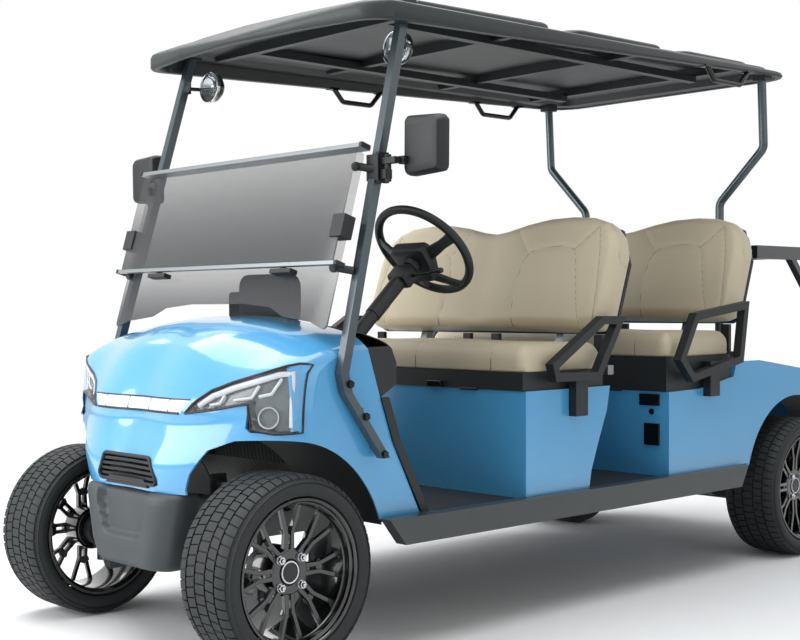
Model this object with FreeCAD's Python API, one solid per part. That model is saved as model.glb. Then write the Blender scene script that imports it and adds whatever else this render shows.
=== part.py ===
import FreeCAD, Part
import math
import os

Vec = FreeCAD.Vector

# Four-seat golf cart. The front points to -Y, +X is the driver's left, +Z is up.
# The origin is the middle of the bounding box, on the ground. Lengths are millimetres.

# Driving dimensions
wheelbase = 2500.0
rear_overhang = 450.0
front_track = 932.0
rear_track = 1028.0
tyre_radius = 260.0
tyre_width = 205.0
rim_radius = 190.0
body_half_width = 556.0
cowl_inset = 26.0
sill_proud = 29.0
floor_top = 365.0
roof_half_width = 550.0
roof_edge_z = 1790.0
seat_pitch = 758.0
rear_seat_rise = 25.0

# Clearances and walls shared by several pieces
seat_gap = 0.3
cut_overrun = 20.0
panel_wall = 5.0
sheet_wall = 4.0
rod_sides = 12
wheel_sides = 44

# Places worked out from the driving dimensions
front_axle_y = tyre_radius - (tyre_radius + wheelbase + rear_overhang) / 2
rear_axle_y = front_axle_y + wheelbase
axle_z = tyre_radius
rear_end_y = rear_axle_y + rear_overhang
cowl_half_width = body_half_width - cowl_inset
sill_half_width = body_half_width + sill_proud


# Shapes that several pieces use

def box(x0, x1, y0, y1, z0, z1):
    return Part.makeBox(x1 - x0, y1 - y0, z1 - z0, Vec(x0, y0, z0))


def mirrored(shape):
    return shape.mirror(Vec(0, 0, 0), Vec(1, 0, 0))


def both_sides(shape):
    return [shape, mirrored(shape)]


def fused(shapes):
    return shapes[0].multiFuse(shapes[1:]).removeSplitter()


def without(shape, cutters):
    for cutter in cutters:
        shape = shape.cut(cutter)
    return shape


def corner_arc(before, corner, after, radius):
    """Start, middle and end of the arc that rounds one corner of a line of points."""
    back = (before - corner).normalize()
    ahead = (after - corner).normalize()
    half = back.getAngle(ahead) / 2
    reach = radius / math.tan(half)
    bisector = (back + ahead).normalize()
    middle = corner + bisector * (radius / math.sin(half) - radius)
    return corner + back * reach, middle, corner + ahead * reach


def rounded_edges(points, radius, closed):
    """Straight edges through the points with an arc at each corner."""
    count = len(points)
    corners = range(count) if closed else range(1, count - 1)
    arcs = [corner_arc(points[i - 1], points[i], points[(i + 1) % count], radius) for i in corners]
    edges = [] if closed else [Part.makeLine(points[0], arcs[0][0])]
    for number, arc in enumerate(arcs):
        edges.append(Part.Arc(*arc).toShape())
        if number + 1 < len(arcs):
            edges.append(Part.makeLine(arc[2], arcs[number + 1][0]))
        elif closed:
            edges.append(Part.makeLine(arc[2], arcs[0][0]))
        else:
            edges.append(Part.makeLine(arc[2], points[-1]))
    return edges


def outline_face(points, radius=0):
    if radius:
        return Part.Face(Part.Wire(rounded_edges(points, radius, True)))
    return Part.Face(Part.makePolygon(points + [points[0]]))


def prism_x(outline, x0, x1, radius=0):
    """Outline of (y, z) points, drawn out along X."""
    face = outline_face([Vec(x0, y, z) for y, z in outline], radius)
    return face.extrude(Vec(x1 - x0, 0, 0))


def prism_y(outline, y0, y1, radius=0):
    """Outline of (x, z) points, drawn out along Y."""
    face = outline_face([Vec(x, y0, z) for x, z in outline], radius)
    return face.extrude(Vec(0, y1 - y0, 0))


def prism_z(outline, z0, z1, radius=0):
    """Outline of (x, y) points, drawn out along Z."""
    face = outline_face([Vec(x, y, z0) for x, y in outline], radius)
    return face.extrude(Vec(0, 0, z1 - z0))


def strip(points, thickness):
    """Closed outline of a line of points thickened to both sides, with mitred corners."""
    left = []
    right = []
    last = len(points) - 1
    for i, (a, b) in enumerate(points):
        a0, b0 = points[max(i - 1, 0)]
        a1, b1 = points[min(i + 1, last)]
        before = math.atan2(b - b0, a - a0) if i else math.atan2(b1 - b, a1 - a)
        after = math.atan2(b1 - b, a1 - a) if i < last else before
        half = (after - before + math.pi) % (2 * math.pi) - math.pi
        half = half / 2
        reach = thickness / 2 / math.cos(half)
        side = before + half + math.pi / 2
        left.append((a + reach * math.cos(side), b + reach * math.sin(side)))
        right.append((a - reach * math.cos(side), b - reach * math.sin(side)))
    return left + right[::-1]


def rod(start, end, radius):
    return Part.makeCylinder(radius, (end - start).Length, start, end - start)


def closed_solid(rings, looped):
    """Solid whose flat faces join each ring of points to the next one."""
    faces = []
    pairs = list(zip(rings, rings[1:] + rings[:1])) if looped else list(zip(rings, rings[1:]))
    for near, far in pairs:
        for i in range(len(near)):
            j = (i + 1) % len(near)
            faces.append(Part.Face(Part.makePolygon([near[i], near[j], far[j], far[i], near[i]])))
    if not looped:
        faces += [Part.Face(Part.makePolygon(ring + [ring[0]])) for ring in (rings[0], rings[-1])]
    solid = Part.Solid(Part.Shell(faces))
    if solid.Volume < 0:
        solid.reverse()
    return solid


def flat_sided_tube(points, radius, sides):
    """Bar of flat sides along a line of points, mitred at its corners."""
    run = (points[1] - points[0]).normalize()
    side = run.cross(Vec(1, 0, 0)) if abs(run.x) < abs(run.z) + abs(run.y) else run.cross(Vec(0, 0, 1))
    side = side.normalize()
    other = run.cross(side)
    arms = [side * (radius * math.cos(2 * math.pi * k / sides)) + other * (radius * math.sin(2 * math.pi * k / sides))
            for k in range(sides)]
    rings = [[points[0] + arm for arm in arms]]
    for here, ahead in zip(points[1:], points[2:] + [points[-1] * 2 - points[-2]]):
        after = (ahead - here).normalize()
        plane = (run + after).normalize()
        arms = [arm - run * (arm.dot(plane) / run.dot(plane)) for arm in arms]
        rings.append([here + arm for arm in arms])
        arms = [arm - after * arm.dot(after) for arm in arms]
        run = after
    return closed_solid(rings, False)


def flat_rod(start, end, radius):
    return flat_sided_tube([start, end], radius, rod_sides)


def spun_flats(outline, x, y, z, sides):
    """Outline of (offset along X, radius) points, carried round the X axis in flat steps."""
    stretch = 1 / math.cos(math.pi / sides)
    rings = []
    for step in range(sides):
        angle = 2 * math.pi * (step + 0.5) / sides
        rings.append([Vec(x + along, y + radius * stretch * math.sin(angle), z + radius * stretch * math.cos(angle))
                      for along, radius in outline])
    return closed_solid(rings, True)


def bent_tube(points, radius, bend):
    path = Part.Wire(rounded_edges(points, bend, False))
    ring = Part.Wire(Part.makeCircle(radius, points[0], points[1] - points[0]))
    return path.makePipeShell([ring], True, False)


def post(points, width, depth):
    """Square tube of level sections, each at one (x, y, z) point."""
    rings = []
    for x, y, z in points:
        x0, x1 = x - width / 2, x + width / 2
        y0, y1 = y - depth / 2, y + depth / 2
        corners = [Vec(x0, y0, z), Vec(x1, y0, z), Vec(x1, y1, z), Vec(x0, y1, z)]
        rings.append(Part.makePolygon(corners + [corners[0]]))
    return Part.makeLoft(rings, True, True)


def spun(outline, x, y, z):
    """Outline of (offset along X, radius) points, spun about the X axis through (x, y, z)."""
    face = outline_face([Vec(x + along, y, z + radius) for along, radius in outline])
    return face.revolve(Vec(x, y, z), Vec(1, 0, 0), 360)


def inset_closed(points, wall):
    """Closed outline of (y, z) points moved inward by a wall."""
    face = outline_face([Vec(0, y, z) for y, z in points]).makeOffset2D(-wall)
    return [(vertex.Point.y, vertex.Point.z) for vertex in face.OuterWire.OrderedVertexes]


def placed(shares, y0, z0, length, height):
    """Points written as shares of a length along Y and a height, from the corner (y0, z0)."""
    return [(y0 + a * length, z0 + b * height) for a, b in shares]


# Sizes of the front bumper, which the frame's front end and the cowl's lower edge follow
bumper_top = 446.0
bumper_bottom = 224.0
bumper_top_half = 231.0
bumper_bottom_half = 166.0
bumper_nose_reach = 188.0
bumper_nose_y = front_axle_y - bumper_nose_reach
bumper_depth = 105.0
bumper_sweep = 30.0
bumper_wall = 6.0
bumper_pocket_half = 118.0
bumper_pocket_depth = 16.0
bumper_pocket_low = 292.0
bumper_pocket_high = 420.0
bumper_front_shares = ((-1.0, 1.0), (-1.0, 0.86), (-0.86, 0.3), (-0.72, 0.0), (0.72, 0.0), (0.86, 0.3), (1.0, 0.86),
                       (1.0, 1.0))
bumper_height = bumper_top - bumper_bottom

# Chassis frame: two bent box rails with cross members and outriggers
rail_x = 190.0
rail_width = 50.0
rail_height = 66.0
rail_kick_start = 350.0
rail_kick_run = 150.0
rail_kick_rise = 130.0
rail_tail = 300.0
outrigger_size = 40.0
rail_z = floor_top - sheet_wall - seat_gap - rail_height / 2
rail_top = rail_z + rail_height / 2
rail_front_y = bumper_nose_y + bumper_depth + seat_gap
rail_rear_y = rear_axle_y + rail_tail
deck_rail_z = rail_z + rail_kick_rise
sill_channel_width = 40.0
sill_inner_x = sill_half_width - sill_channel_width


def rail():
    path = [(rail_front_y, rail_z), (rear_axle_y - rail_kick_start, rail_z),
            (rear_axle_y - rail_kick_start + rail_kick_run, deck_rail_z), (rail_rear_y, deck_rail_z)]
    inner = [(rail_front_y - cut_overrun, rail_z)] + path[1:-1] + [(rail_rear_y + cut_overrun, deck_rail_z)]
    x0, x1 = rail_x - rail_width / 2, rail_x + rail_width / 2
    outside = prism_x(strip(path, rail_height), x0, x1)
    inside = prism_x(strip(inner, rail_height - 2 * sheet_wall), x0 + sheet_wall, x1 - sheet_wall)
    return outside.cut(inside)


cross_member_shares = (0.0, 0.17, 0.38, 0.56, 0.77)
outrigger_shares = (0.2, 0.38, 0.56, 0.72)


def cross_member(y, z):
    half = outrigger_size / 2
    inner_x = rail_x - rail_width / 2
    return box(-inner_x, inner_x, y - half, y + half, z - half, z + half)


def outrigger(y):
    half = outrigger_size / 2
    x0 = rail_x + rail_width / 2
    return box(x0, sill_inner_x - seat_gap, y - half, y + half, rail_top - outrigger_size, rail_top)


def chassis_frame():
    run = rear_axle_y - front_axle_y
    solids = both_sides(rail())
    solids += [cross_member(front_axle_y + share * run, rail_z) for share in cross_member_shares]
    solids.append(cross_member(rail_rear_y - outrigger_size / 2, deck_rail_z))
    for share in outrigger_shares:
        solids += both_sides(outrigger(front_axle_y + share * run))
    return fused(solids)


# Floor pan: floor, toe board and firewall in one folded sheet
firewall_setback = 262.0
firewall_y = front_axle_y + firewall_setback
firewall_foot_setback = 300.0
firewall_foot_y = front_axle_y + firewall_foot_setback
toe_setback = 415.0
toe_y = front_axle_y + toe_setback
firewall_top = 700.0
toe_top = 490.0
floor_half_width = sill_inner_x - seat_gap
rear_box_front_y = 323.0


def floor_pan():
    middle = floor_top - sheet_wall / 2
    path = [(firewall_y, firewall_top), (firewall_foot_y, toe_top), (toe_y, middle), (rear_box_front_y, middle)]
    sheet = prism_x(strip(path, sheet_wall), -floor_half_width, floor_half_width)
    notch = box(cowl_half_width - panel_wall - seat_gap, floor_half_width + cut_overrun, firewall_y - cut_overrun,
                toe_y + cut_overrun, floor_top, firewall_top + cut_overrun)
    return without(sheet, both_sides(notch))


# Sills: channels that close the frame's sides, open to the inside
sill_depth = 40.0
sill_bottom = 296.0
sill_top = 371.0
sill_front_setback = 301.0
sill_front_y = front_axle_y + sill_front_setback
sill_rear_setback = 371.0
sill_rear_y = rear_axle_y - sill_rear_setback
sill_front_slant = 62.0
sill_rear_slant = 45.0


def sill():
    outline = [(sill_front_y, sill_top), (sill_front_y + sill_front_slant, sill_bottom),
               (sill_rear_y - sill_rear_slant, sill_bottom), (sill_rear_y, sill_top)]
    inner = [(sill_front_y + sheet_wall + sill_front_slant, sill_top - sheet_wall),
             (sill_front_y + sheet_wall + sill_front_slant, sill_bottom + sheet_wall),
             (sill_rear_y - sheet_wall - sill_rear_slant, sill_bottom + sheet_wall),
             (sill_rear_y - sheet_wall - sill_rear_slant, sill_top - sheet_wall)]
    outer = prism_x(outline, sill_half_width - sill_depth, sill_half_width)
    return outer.cut(prism_x(inner, sill_half_width - sill_depth - cut_overrun, sill_half_width - sheet_wall))


# Front cowl: a shell lofted through lengthwise sections, each a curve of shares
cowl_nose_reach = 160.0
cowl_nose_y = front_axle_y - cowl_nose_reach
cowl_length = 400.0
cowl_bottom = 370.0
cowl_height = 560.0
cowl_station_shares = (0.0, 0.453, 0.755, 0.934, 1.0)
cowl_section_shares = (
    ((1.6, 1.004), (1.0, 0.998), (0.8, 0.984), (0.645, 0.964), (0.465, 0.904), (0.33, 0.825), (0.1975, 0.682),
     (0.135, 0.6), (0.1, 0.525), (0.1, 0.468), (0.05, 0.375), (0.005, 0.268), (0.03, 0.125), (0.05, 0.0)),
    ((1.6, 0.979), (1.0, 0.973), (0.8, 0.959), (0.645, 0.936), (0.47, 0.879), (0.33, 0.8), (0.21, 0.679),
     (0.1325, 0.593), (0.1125, 0.521), (0.1175, 0.468), (0.08, 0.375), (0.045, 0.268), (0.075, 0.125), (0.1, 0.0)),
    ((1.6, 0.938), (1.0, 0.932), (0.82, 0.918), (0.69, 0.896), (0.56, 0.857), (0.45, 0.807), (0.335, 0.725),
     (0.295, 0.652), (0.28, 0.554), (0.275, 0.482), (0.26, 0.393), (0.25, 0.286), (0.28, 0.125), (0.3, 0.0)),
    ((1.6, 0.889), (1.0, 0.884), (0.85, 0.871), (0.74, 0.854), (0.64, 0.832), (0.55, 0.807), (0.47, 0.768),
     (0.44, 0.696), (0.425, 0.589), (0.42, 0.482), (0.415, 0.393), (0.415, 0.286), (0.43, 0.125), (0.44, 0.0)),
    ((1.6, 0.836), (1.0, 0.832), (0.88, 0.82), (0.8, 0.804), (0.73, 0.782), (0.67, 0.755), (0.62, 0.718),
     (0.59, 0.652), (0.57, 0.571), (0.56, 0.482), (0.555, 0.393), (0.555, 0.286), (0.565, 0.125), (0.575, 0.0)),
)
arch_radius = 343.0
arch_shift = 12.0
cowl_rear_setback = 262.0
cowl_rear_top_y = front_axle_y + cowl_rear_setback
cowl_side_shares = ((0.0, 1.0), (0.024, 0.86), (0.27, 0.585), (0.47, 0.38), (1.0, 0.0))
cowl_side_run = 213.0


def inset(points, depth):
    """Points of a section moved inward, square to the curve."""
    moved = []
    for i, (a, b) in enumerate(points):
        a0, b0 = points[max(i - 1, 0)]
        a1, b1 = points[min(i + 1, len(points) - 1)]
        run = math.hypot(a1 - a0, b1 - b0)
        moved.append((a - (b1 - b0) / run * depth, b + (a1 - a0) / run * depth))
    return moved


def cowl_section(x, points, low_z):
    """Closed wire: the outer curve, then the underside and the rear."""
    count = len(points) - 1
    curve = Part.BSplineCurve()
    curve.interpolate(Points=[Vec(x, y, z) for y, z in points], Parameters=[i / count for i in range(count + 1)])
    rear_y = points[0][0]
    low_front = Vec(x, points[-1][0], low_z)
    low_rear = Vec(x, rear_y, low_z)
    edges = [curve.toShape(), Part.makeLine(Vec(x, *points[-1]), low_front),
             Part.makeLine(low_front, low_rear), Part.makeLine(low_rear, Vec(x, *points[0]))]
    return Part.Wire(edges)


def cowl_loft(depth):
    """Solid inside the cowl's outer surface, moved inward by a depth."""
    half = []
    for station, shares in zip(cowl_station_shares, cowl_section_shares):
        points = inset(placed(shares, cowl_nose_y, cowl_bottom, cowl_length, cowl_height), depth)
        half.append((station * (cowl_half_width - depth), points))
    stations = [(-x, points) for x, points in half[:0:-1]] + half
    low_z = cowl_bottom - cut_overrun
    return Part.makeLoft([cowl_section(x, points, low_z) for x, points in stations], True, False)


def arch_cutter(axle_y, shift, radius, x0, x1):
    """Round cutter over one wheel, open down to the ground."""
    centre = Vec(x0, axle_y + shift, axle_z)
    dome = Part.makeCylinder(radius, x1 - x0, centre, Vec(1, 0, 0))
    below = box(x0, x1, centre.y - radius, centre.y + radius, 0, axle_z)
    return dome.fuse(below)


arch_inner_x = 250.0
arch_front_shares = ((0.0, 0.16), (0.06, 0.24), (0.22, 0.36), (0.55, 0.43), (1.1, 0.46), (1.1, -0.2), (0.0, -0.2))
arch_front_x = 238.0


def cowl_arch():
    """The wheel opening, whose front edge climbs outward from the bumper's corner."""
    reach = arch_radius + cut_overrun
    dome = arch_cutter(front_axle_y, -arch_shift, arch_radius, arch_front_x, cowl_half_width + cut_overrun)
    width = cowl_half_width - arch_front_x
    outline = [(arch_front_x + a * width, cowl_bottom + b * cowl_height) for a, b in arch_front_shares]
    front = prism_y(outline, front_axle_y - reach, front_axle_y)
    rear = box(arch_inner_x, cowl_half_width + cut_overrun, front_axle_y, front_axle_y + reach, 0,
               cowl_bottom + cowl_height)
    return dome.common(front.fuse(rear))


def cowl_side_line():
    """Slanting rear edge of the cowl's side, from the bonnet to the sill."""
    height = cowl_bottom + cowl_height - floor_top
    return placed(cowl_side_shares, cowl_rear_top_y, floor_top, cowl_side_run, height)


def cowl_rear_cutter():
    line = cowl_side_line()
    top_z = cowl_bottom + cowl_height + cut_overrun
    rear_y = cowl_nose_y + 2 * cowl_length
    low_z = cowl_bottom - 2 * cut_overrun
    outline = [(line[0][0], top_z)] + line + [(line[-1][0], low_z), (rear_y, low_z), (rear_y, top_z)]
    return prism_x(outline, -body_half_width, body_half_width)


# Lamps: headlamps and the bar between them, cut from the cowl's own form
lamp_inner_share = 0.4189
lamp_width_share = 0.566
lamp_outline_z = 618.0
lamp_outline_height = 188.0
lamp_outline_shares = ((0.0, 0.25), (0.10, 0.46), (0.22, 0.60), (0.41, 0.72), (0.69, 0.86), (0.96, 1.0), (1.0, 0.97),
                       (1.0, 0.06), (0.97, 0.0), (0.62, 0.02), (0.58, 0.08), (0.6, 0.4), (0.3, 0.33))
lamp_depth = 34.0
bar_share = 0.4434
bar_foot_share = 0.86
bar_bottom = 664.0
bar_top = 705.0


def lamp_outline():
    return [((lamp_inner_share + a * lamp_width_share) * cowl_half_width, lamp_outline_z + b * lamp_outline_height)
            for a, b in lamp_outline_shares]


def bar_outline():
    half = cowl_half_width * bar_share
    foot = half * bar_foot_share
    return [(-half, bar_top), (-foot, bar_bottom), (foot, bar_bottom), (half, bar_top)]


def front_prism(outline, gap):
    """Outline drawn out through the cowl's front, narrowed by a gap all round."""
    y0 = cowl_nose_y - cut_overrun
    face = outline_face([Vec(x, y0, z) for x, z in outline])
    if gap:
        face = face.makeOffset2D(-gap)
    return face.extrude(Vec(0, cowl_length / 2, 0))


def surface_slab(outer):
    """The cowl's front skin as deep as a lamp."""
    return outer.cut(outer.translated(Vec(0, lamp_depth, 0)))


grille_top = 540.0
grille_bottom = 466.0
grille_top_half = 111.0
grille_bottom_half = 147.0
grille_slats = 4
grille_slat_height = 8.0
grille_rim = 6.0
grille_depth = 30.0


def grille_outline():
    return [(-grille_top_half, grille_top), (-grille_bottom_half, grille_bottom),
            (grille_bottom_half, grille_bottom), (grille_top_half, grille_top)]


def lower_grille(outer):
    """Slats in a frame that follows the skirt's curve."""
    frame = front_prism(grille_outline(), seat_gap)
    inside = front_prism(grille_outline(), grille_rim)
    slats = []
    pitch = (grille_top - grille_bottom) / (grille_slats + 1)
    for number in range(grille_slats):
        middle = grille_bottom + (number + 1) * pitch
        slats.append(box(-grille_bottom_half, grille_bottom_half, cowl_nose_y - cut_overrun,
                         cowl_nose_y + cowl_length / 2, middle - grille_slat_height / 2,
                         middle + grille_slat_height / 2).common(frame))
    skin = outer.cut(outer.translated(Vec(0, grille_depth, 0)))
    return fused([frame.cut(inside)] + slats).common(skin)


def front_cowl(outer):
    shell = outer.cut(cowl_loft(panel_wall))
    bumper_bay = box(-arch_front_x, arch_front_x, cowl_nose_y - cut_overrun, cowl_nose_y + cowl_length / 4, 0,
                     bumper_top + seat_gap)
    cutters = [cowl_rear_cutter(), bumper_bay, front_prism(grille_outline(), 0), front_prism(bar_outline(), 0),
               box(-body_half_width, body_half_width, cowl_nose_y, cowl_nose_y + 2 * cowl_length, 0,
                   floor_top + seat_gap)]
    cutters += both_sides(cowl_arch())
    cutters += both_sides(front_prism(lamp_outline(), 0))
    return without(shell, cutters)


# Front bumper: a thick hollow moulding with a sunk middle panel
def bumper_body(inset_by):
    front = [(a * (bumper_top_half - inset_by), bumper_bottom + inset_by + b * (bumper_height - 2 * inset_by))
             for a, b in bumper_front_shares]
    y1 = bumper_nose_y + bumper_depth
    face_half = bumper_bottom_half
    plan = [(-bumper_top_half, y1 + inset_by), (-bumper_top_half, bumper_nose_y + bumper_sweep + inset_by),
            (-face_half, bumper_nose_y + inset_by), (face_half, bumper_nose_y + inset_by),
            (bumper_top_half, bumper_nose_y + bumper_sweep + inset_by), (bumper_top_half, y1 + inset_by)]
    return prism_y(front, bumper_nose_y, y1 + inset_by).common(prism_z(plan, 0, bumper_top + cut_overrun))


def front_bumper():
    shell = bumper_body(0)
    pocket = box(-bumper_pocket_half, bumper_pocket_half, bumper_nose_y - cut_overrun,
                 bumper_nose_y + bumper_pocket_depth, bumper_pocket_low, bumper_pocket_high)
    hollow = bumper_body(bumper_wall).cut(
        box(-bumper_pocket_half - bumper_wall, bumper_pocket_half + bumper_wall, bumper_nose_y - cut_overrun,
            bumper_nose_y + bumper_pocket_depth + bumper_wall, bumper_pocket_low - bumper_wall,
            bumper_pocket_high + bumper_wall))
    return shell.cut(pocket).cut(hollow)


# Front wheel liners: arched sheets over the wheels
liner_inner_x = 224.0
liner_gap = 4.0
liner_low_angle = 2.0
liner_high_angle = 128.0


def arch_sheet(axle_y, shift, radius, x0, x1, low_angle, high_angle):
    """Part of a round sheet over a wheel, between two angles measured up from the rear."""
    centre = Vec(x0, axle_y + shift, axle_z)
    span = high_angle - low_angle
    start = Vec(x0, centre.y + radius, axle_z)
    face = outline_face([start, start + Vec(x1 - x0, 0, 0), start + Vec(x1 - x0, sheet_wall, 0),
                         start + Vec(0, sheet_wall, 0)])
    face = face.rotate(centre, Vec(1, 0, 0), low_angle)
    return face.revolve(centre, Vec(1, 0, 0), span)


def front_liners():
    sheet = arch_sheet(front_axle_y, -arch_shift, arch_radius + liner_gap, liner_inner_x, cowl_half_width,
                       liner_low_angle, liner_high_angle)
    return both_sides(sheet.common(cowl_loft(panel_wall + seat_gap)))


# Dashboard: the black top of the cowl with its rolled rear edge and two open trays
dash_margin = 8.0
dash_half_width = cowl_half_width - dash_margin
dash_front_y = cowl_rear_top_y + seat_gap
dash_depth = 128.0
dash_bottom = 703.0
dash_height = 205.0
dash_shares = ((0.0, 0.0), (0.0, 1.0), (0.3, 0.98), (0.8, 0.72), (1.0, 0.45), (0.98, 0.16), (0.5, 0.0))
pod_half_width = 66.0
pod_x = -40.0
pod_height = 112.0
pod_depth = 46.0
pod_lean = 28.0
pod_sink = 20.0


def dashboard():
    points = placed(dash_shares, dash_front_y, dash_bottom, dash_depth, dash_height)
    body = prism_x(points, -dash_half_width, dash_half_width)
    hollow = prism_x(inset_closed(points, panel_wall), -dash_half_width + panel_wall, dash_half_width - panel_wall)
    bore_length = 2 * column_length
    column = steer_placed(Part.makeCylinder(column_radius + seat_gap, bore_length, Vec(0, 0, -bore_length)))
    return body.cut(hollow).common(cowl_loft(panel_wall + seat_gap)).cut(column)


def display_pod():
    low = dash_bottom + dash_height - pod_sink
    outline = [(-pod_half_width, low), (-pod_half_width, low + pod_height), (pod_half_width, low + pod_height),
               (pod_half_width, low)]
    y0 = dash_front_y + pod_lean
    pod = prism_y([(pod_x + x, z) for x, z in outline], y0, y0 + pod_depth, pod_lean / 2)
    seat = prism_x(placed(dash_shares, dash_front_y, dash_bottom + seat_gap, dash_depth, dash_height),
                   -dash_half_width, dash_half_width)
    return pod.cut(seat)


# Leg trims: black strips along the cowl's slanting rear edge
trim_width = 30.0
trim_depth = 34.0
trim_proud = 6.0


def leg_trim():
    line = cowl_side_line()[1:]
    rear = [(y + trim_width, z) for y, z in line]
    line = [(y + seat_gap, z) for y, z in line]
    low_z = sill_top + seat_gap
    outline = line[:-1] + [(line[-1][0], low_z), (rear[-1][0], low_z)] + rear[:-1][::-1]
    x1 = cowl_half_width + trim_proud
    return prism_x(outline, x1 - trim_depth, x1).cut(
        box(0, cowl_half_width + cut_overrun, dash_front_y, dash_front_y + dash_depth + seat_gap,
            dash_bottom - seat_gap, dash_bottom + dash_height + seat_gap))


# Windscreen: lower pane, upper pane folded down in front of it, and their rails
screen_lean = math.radians(16.8)
screen_setback = 285.0
screen_hinge_y = front_axle_y + screen_setback
screen_hinge_z = 1385.0
screen_margin = 48.0
screen_half_width = body_half_width - screen_margin
screen_foot_z = 888.0
screen_rise = 78.0
pane_thickness = 5.0
pane_gap = 24.0
upper_pane_length = 330.0
screen_rail_size = 20.0
screen_bottom_shares = ((-1.0, 0.0), (-0.86, 0.32), (-0.62, 0.5), (-0.5, 0.84), (-0.25, 1.0), (0.25, 1.0), (0.5, 0.84),
                        (0.62, 0.5), (0.86, 0.32), (1.0, 0.0))


def leaned(shape):
    """Turn an upright pane at y = 0, z = 0 back to the windscreen's slope, under the hinge line."""
    shape = shape.rotate(Vec(0, 0, 0), Vec(1, 0, 0), -math.degrees(screen_lean))
    return shape.translated(Vec(0, screen_hinge_y, screen_hinge_z))


def windscreen_lower():
    drop = (screen_hinge_z - screen_foot_z) / math.cos(screen_lean)
    rise = screen_rise / math.cos(screen_lean)
    low = [(a * screen_half_width, -drop + b * rise) for a, b in screen_bottom_shares]
    top = -screen_rail_size / 2 - seat_gap
    outline = low + [(screen_half_width, top), (-screen_half_width, top)]
    return leaned(prism_y(outline, 0, pane_thickness))


def windscreen_upper():
    top = -screen_rail_size / 2 - seat_gap
    outline = [(-screen_half_width, top), (-screen_half_width, -upper_pane_length),
               (screen_half_width, -upper_pane_length), (screen_half_width, top)]
    return leaned(prism_y(outline, -pane_gap - pane_thickness, -pane_gap))


rail_overhang = 16.0
clip_width = 46.0
clip_height = 52.0
clip_drop = 215.0
clamp_height = 26.0
clamp_shares = (0.06, 0.62)
clamp_ease = 0.02


def windscreen_rails():
    half = screen_rail_size / 2
    rail_half = screen_half_width + rail_overhang
    top = box(-rail_half, rail_half, -pane_gap - pane_thickness, pane_thickness, -half, half)
    low_z = -upper_pane_length - seat_gap
    low = box(-rail_half, rail_half, -pane_gap - pane_thickness - half / 2, -pane_gap + half / 2,
              low_z - screen_rail_size, low_z)
    clip = box(screen_half_width - clip_width / 2, screen_half_width + half, -pane_gap + seat_gap, -seat_gap,
               -clip_drop - clip_height, -clip_drop)
    clamps = [screen_clamp(share) for share in clamp_shares]
    pieces = [top, low] + both_sides(clip) + [piece for clamp in clamps for piece in both_sides(clamp)]
    return [leaned(piece) for piece in pieces]


def screen_clamp(share):
    """Rubber block between the lower pane and the pillar's front, built upright."""
    drop = share * (screen_hinge_z - screen_foot_z)
    pane_y = screen_hinge_y - drop * math.tan(screen_lean)
    x, y = pillar_point(screen_hinge_z - drop)
    run = (y - pillar_depth / 2 - pane_y) * math.cos(screen_lean) - seat_gap
    middle = -drop / math.cos(screen_lean)
    return box(screen_half_width - clamp_height, x, pane_thickness + seat_gap, run - clamp_height * clamp_ease,
               middle - clamp_height / 2, middle + clamp_height / 2)


# Front pillars: splayed box tubes with a knee, and their feet on the cowl's side
pillar_width = 25.0
pillar_depth = 29.0
pillar_top_inset = 56.0
pillar_knee_inset = 10.0
pillar_foot_proud = 4.0
pillar_top_x = body_half_width - pillar_top_inset
pillar_knee_x = body_half_width - pillar_knee_inset
pillar_foot_x = body_half_width + pillar_foot_proud
pillar_top_f = 447.0
pillar_knee_f = 160.0
pillar_foot_f = 300.0
pillar_knee_z = 775.0
pillar_foot_z = 540.0
pillar_knee_round = 26.0
pillar_bolt_shares = (0.42, 0.88)


def front_pillar():
    knee_y = front_axle_y + pillar_knee_f
    points = [(pillar_top_x, front_axle_y + pillar_top_f, roof_edge_z - seat_gap),
              (pillar_knee_x, knee_y + pillar_knee_round / 2, pillar_knee_z + 2 * pillar_knee_round),
              (pillar_knee_x, knee_y, pillar_knee_z),
              (pillar_knee_x + seat_gap, knee_y + pillar_knee_round / 2, pillar_knee_z - 2 * pillar_knee_round),
              (pillar_foot_x, front_axle_y + pillar_foot_f, pillar_foot_z)]
    tube = post(points, pillar_width, pillar_depth)
    inner = cowl_half_width + seat_gap
    bolt_radius = pillar_width / 4
    bolts = []
    for share in pillar_bolt_shares:
        y = knee_y + share * (pillar_foot_f - pillar_knee_f)
        z = pillar_knee_z + share * (pillar_foot_z - pillar_knee_z)
        bolts.append(rod(Vec(inner, y, z), Vec(pillar_foot_x, y, z), bolt_radius))
    return fused([tube] + bolts)


# Rear pillars: round tubes that fold inward behind the rear seat
rear_pillar_radius = 16.0
rear_pillar_bend = 45.0
rear_pillar_inset = 58.0
rear_pillar_fold = 183.0
rear_pillar_x = body_half_width - rear_pillar_inset
rear_pillar_low_x = rear_pillar_x - rear_pillar_fold
rear_pillar_setback = 128.0
rear_pillar_y = rear_axle_y - rear_pillar_setback
rear_pillar_knee_z = 1537.0
rear_pillar_low_z = 1342.0


def rear_pillar():
    points = [Vec(rear_pillar_x, rear_pillar_y - rear_pillar_radius, roof_edge_z - seat_gap),
              Vec(rear_pillar_x, rear_pillar_y, rear_pillar_knee_z),
              Vec(rear_pillar_low_x, rear_pillar_y, rear_pillar_low_z),
              Vec(rear_pillar_low_x, rear_pillar_y, body_top(rear_pillar_y - rear_pillar_radius) + seat_gap)]
    return bent_tube(points, rear_pillar_radius, rear_pillar_bend)


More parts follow.
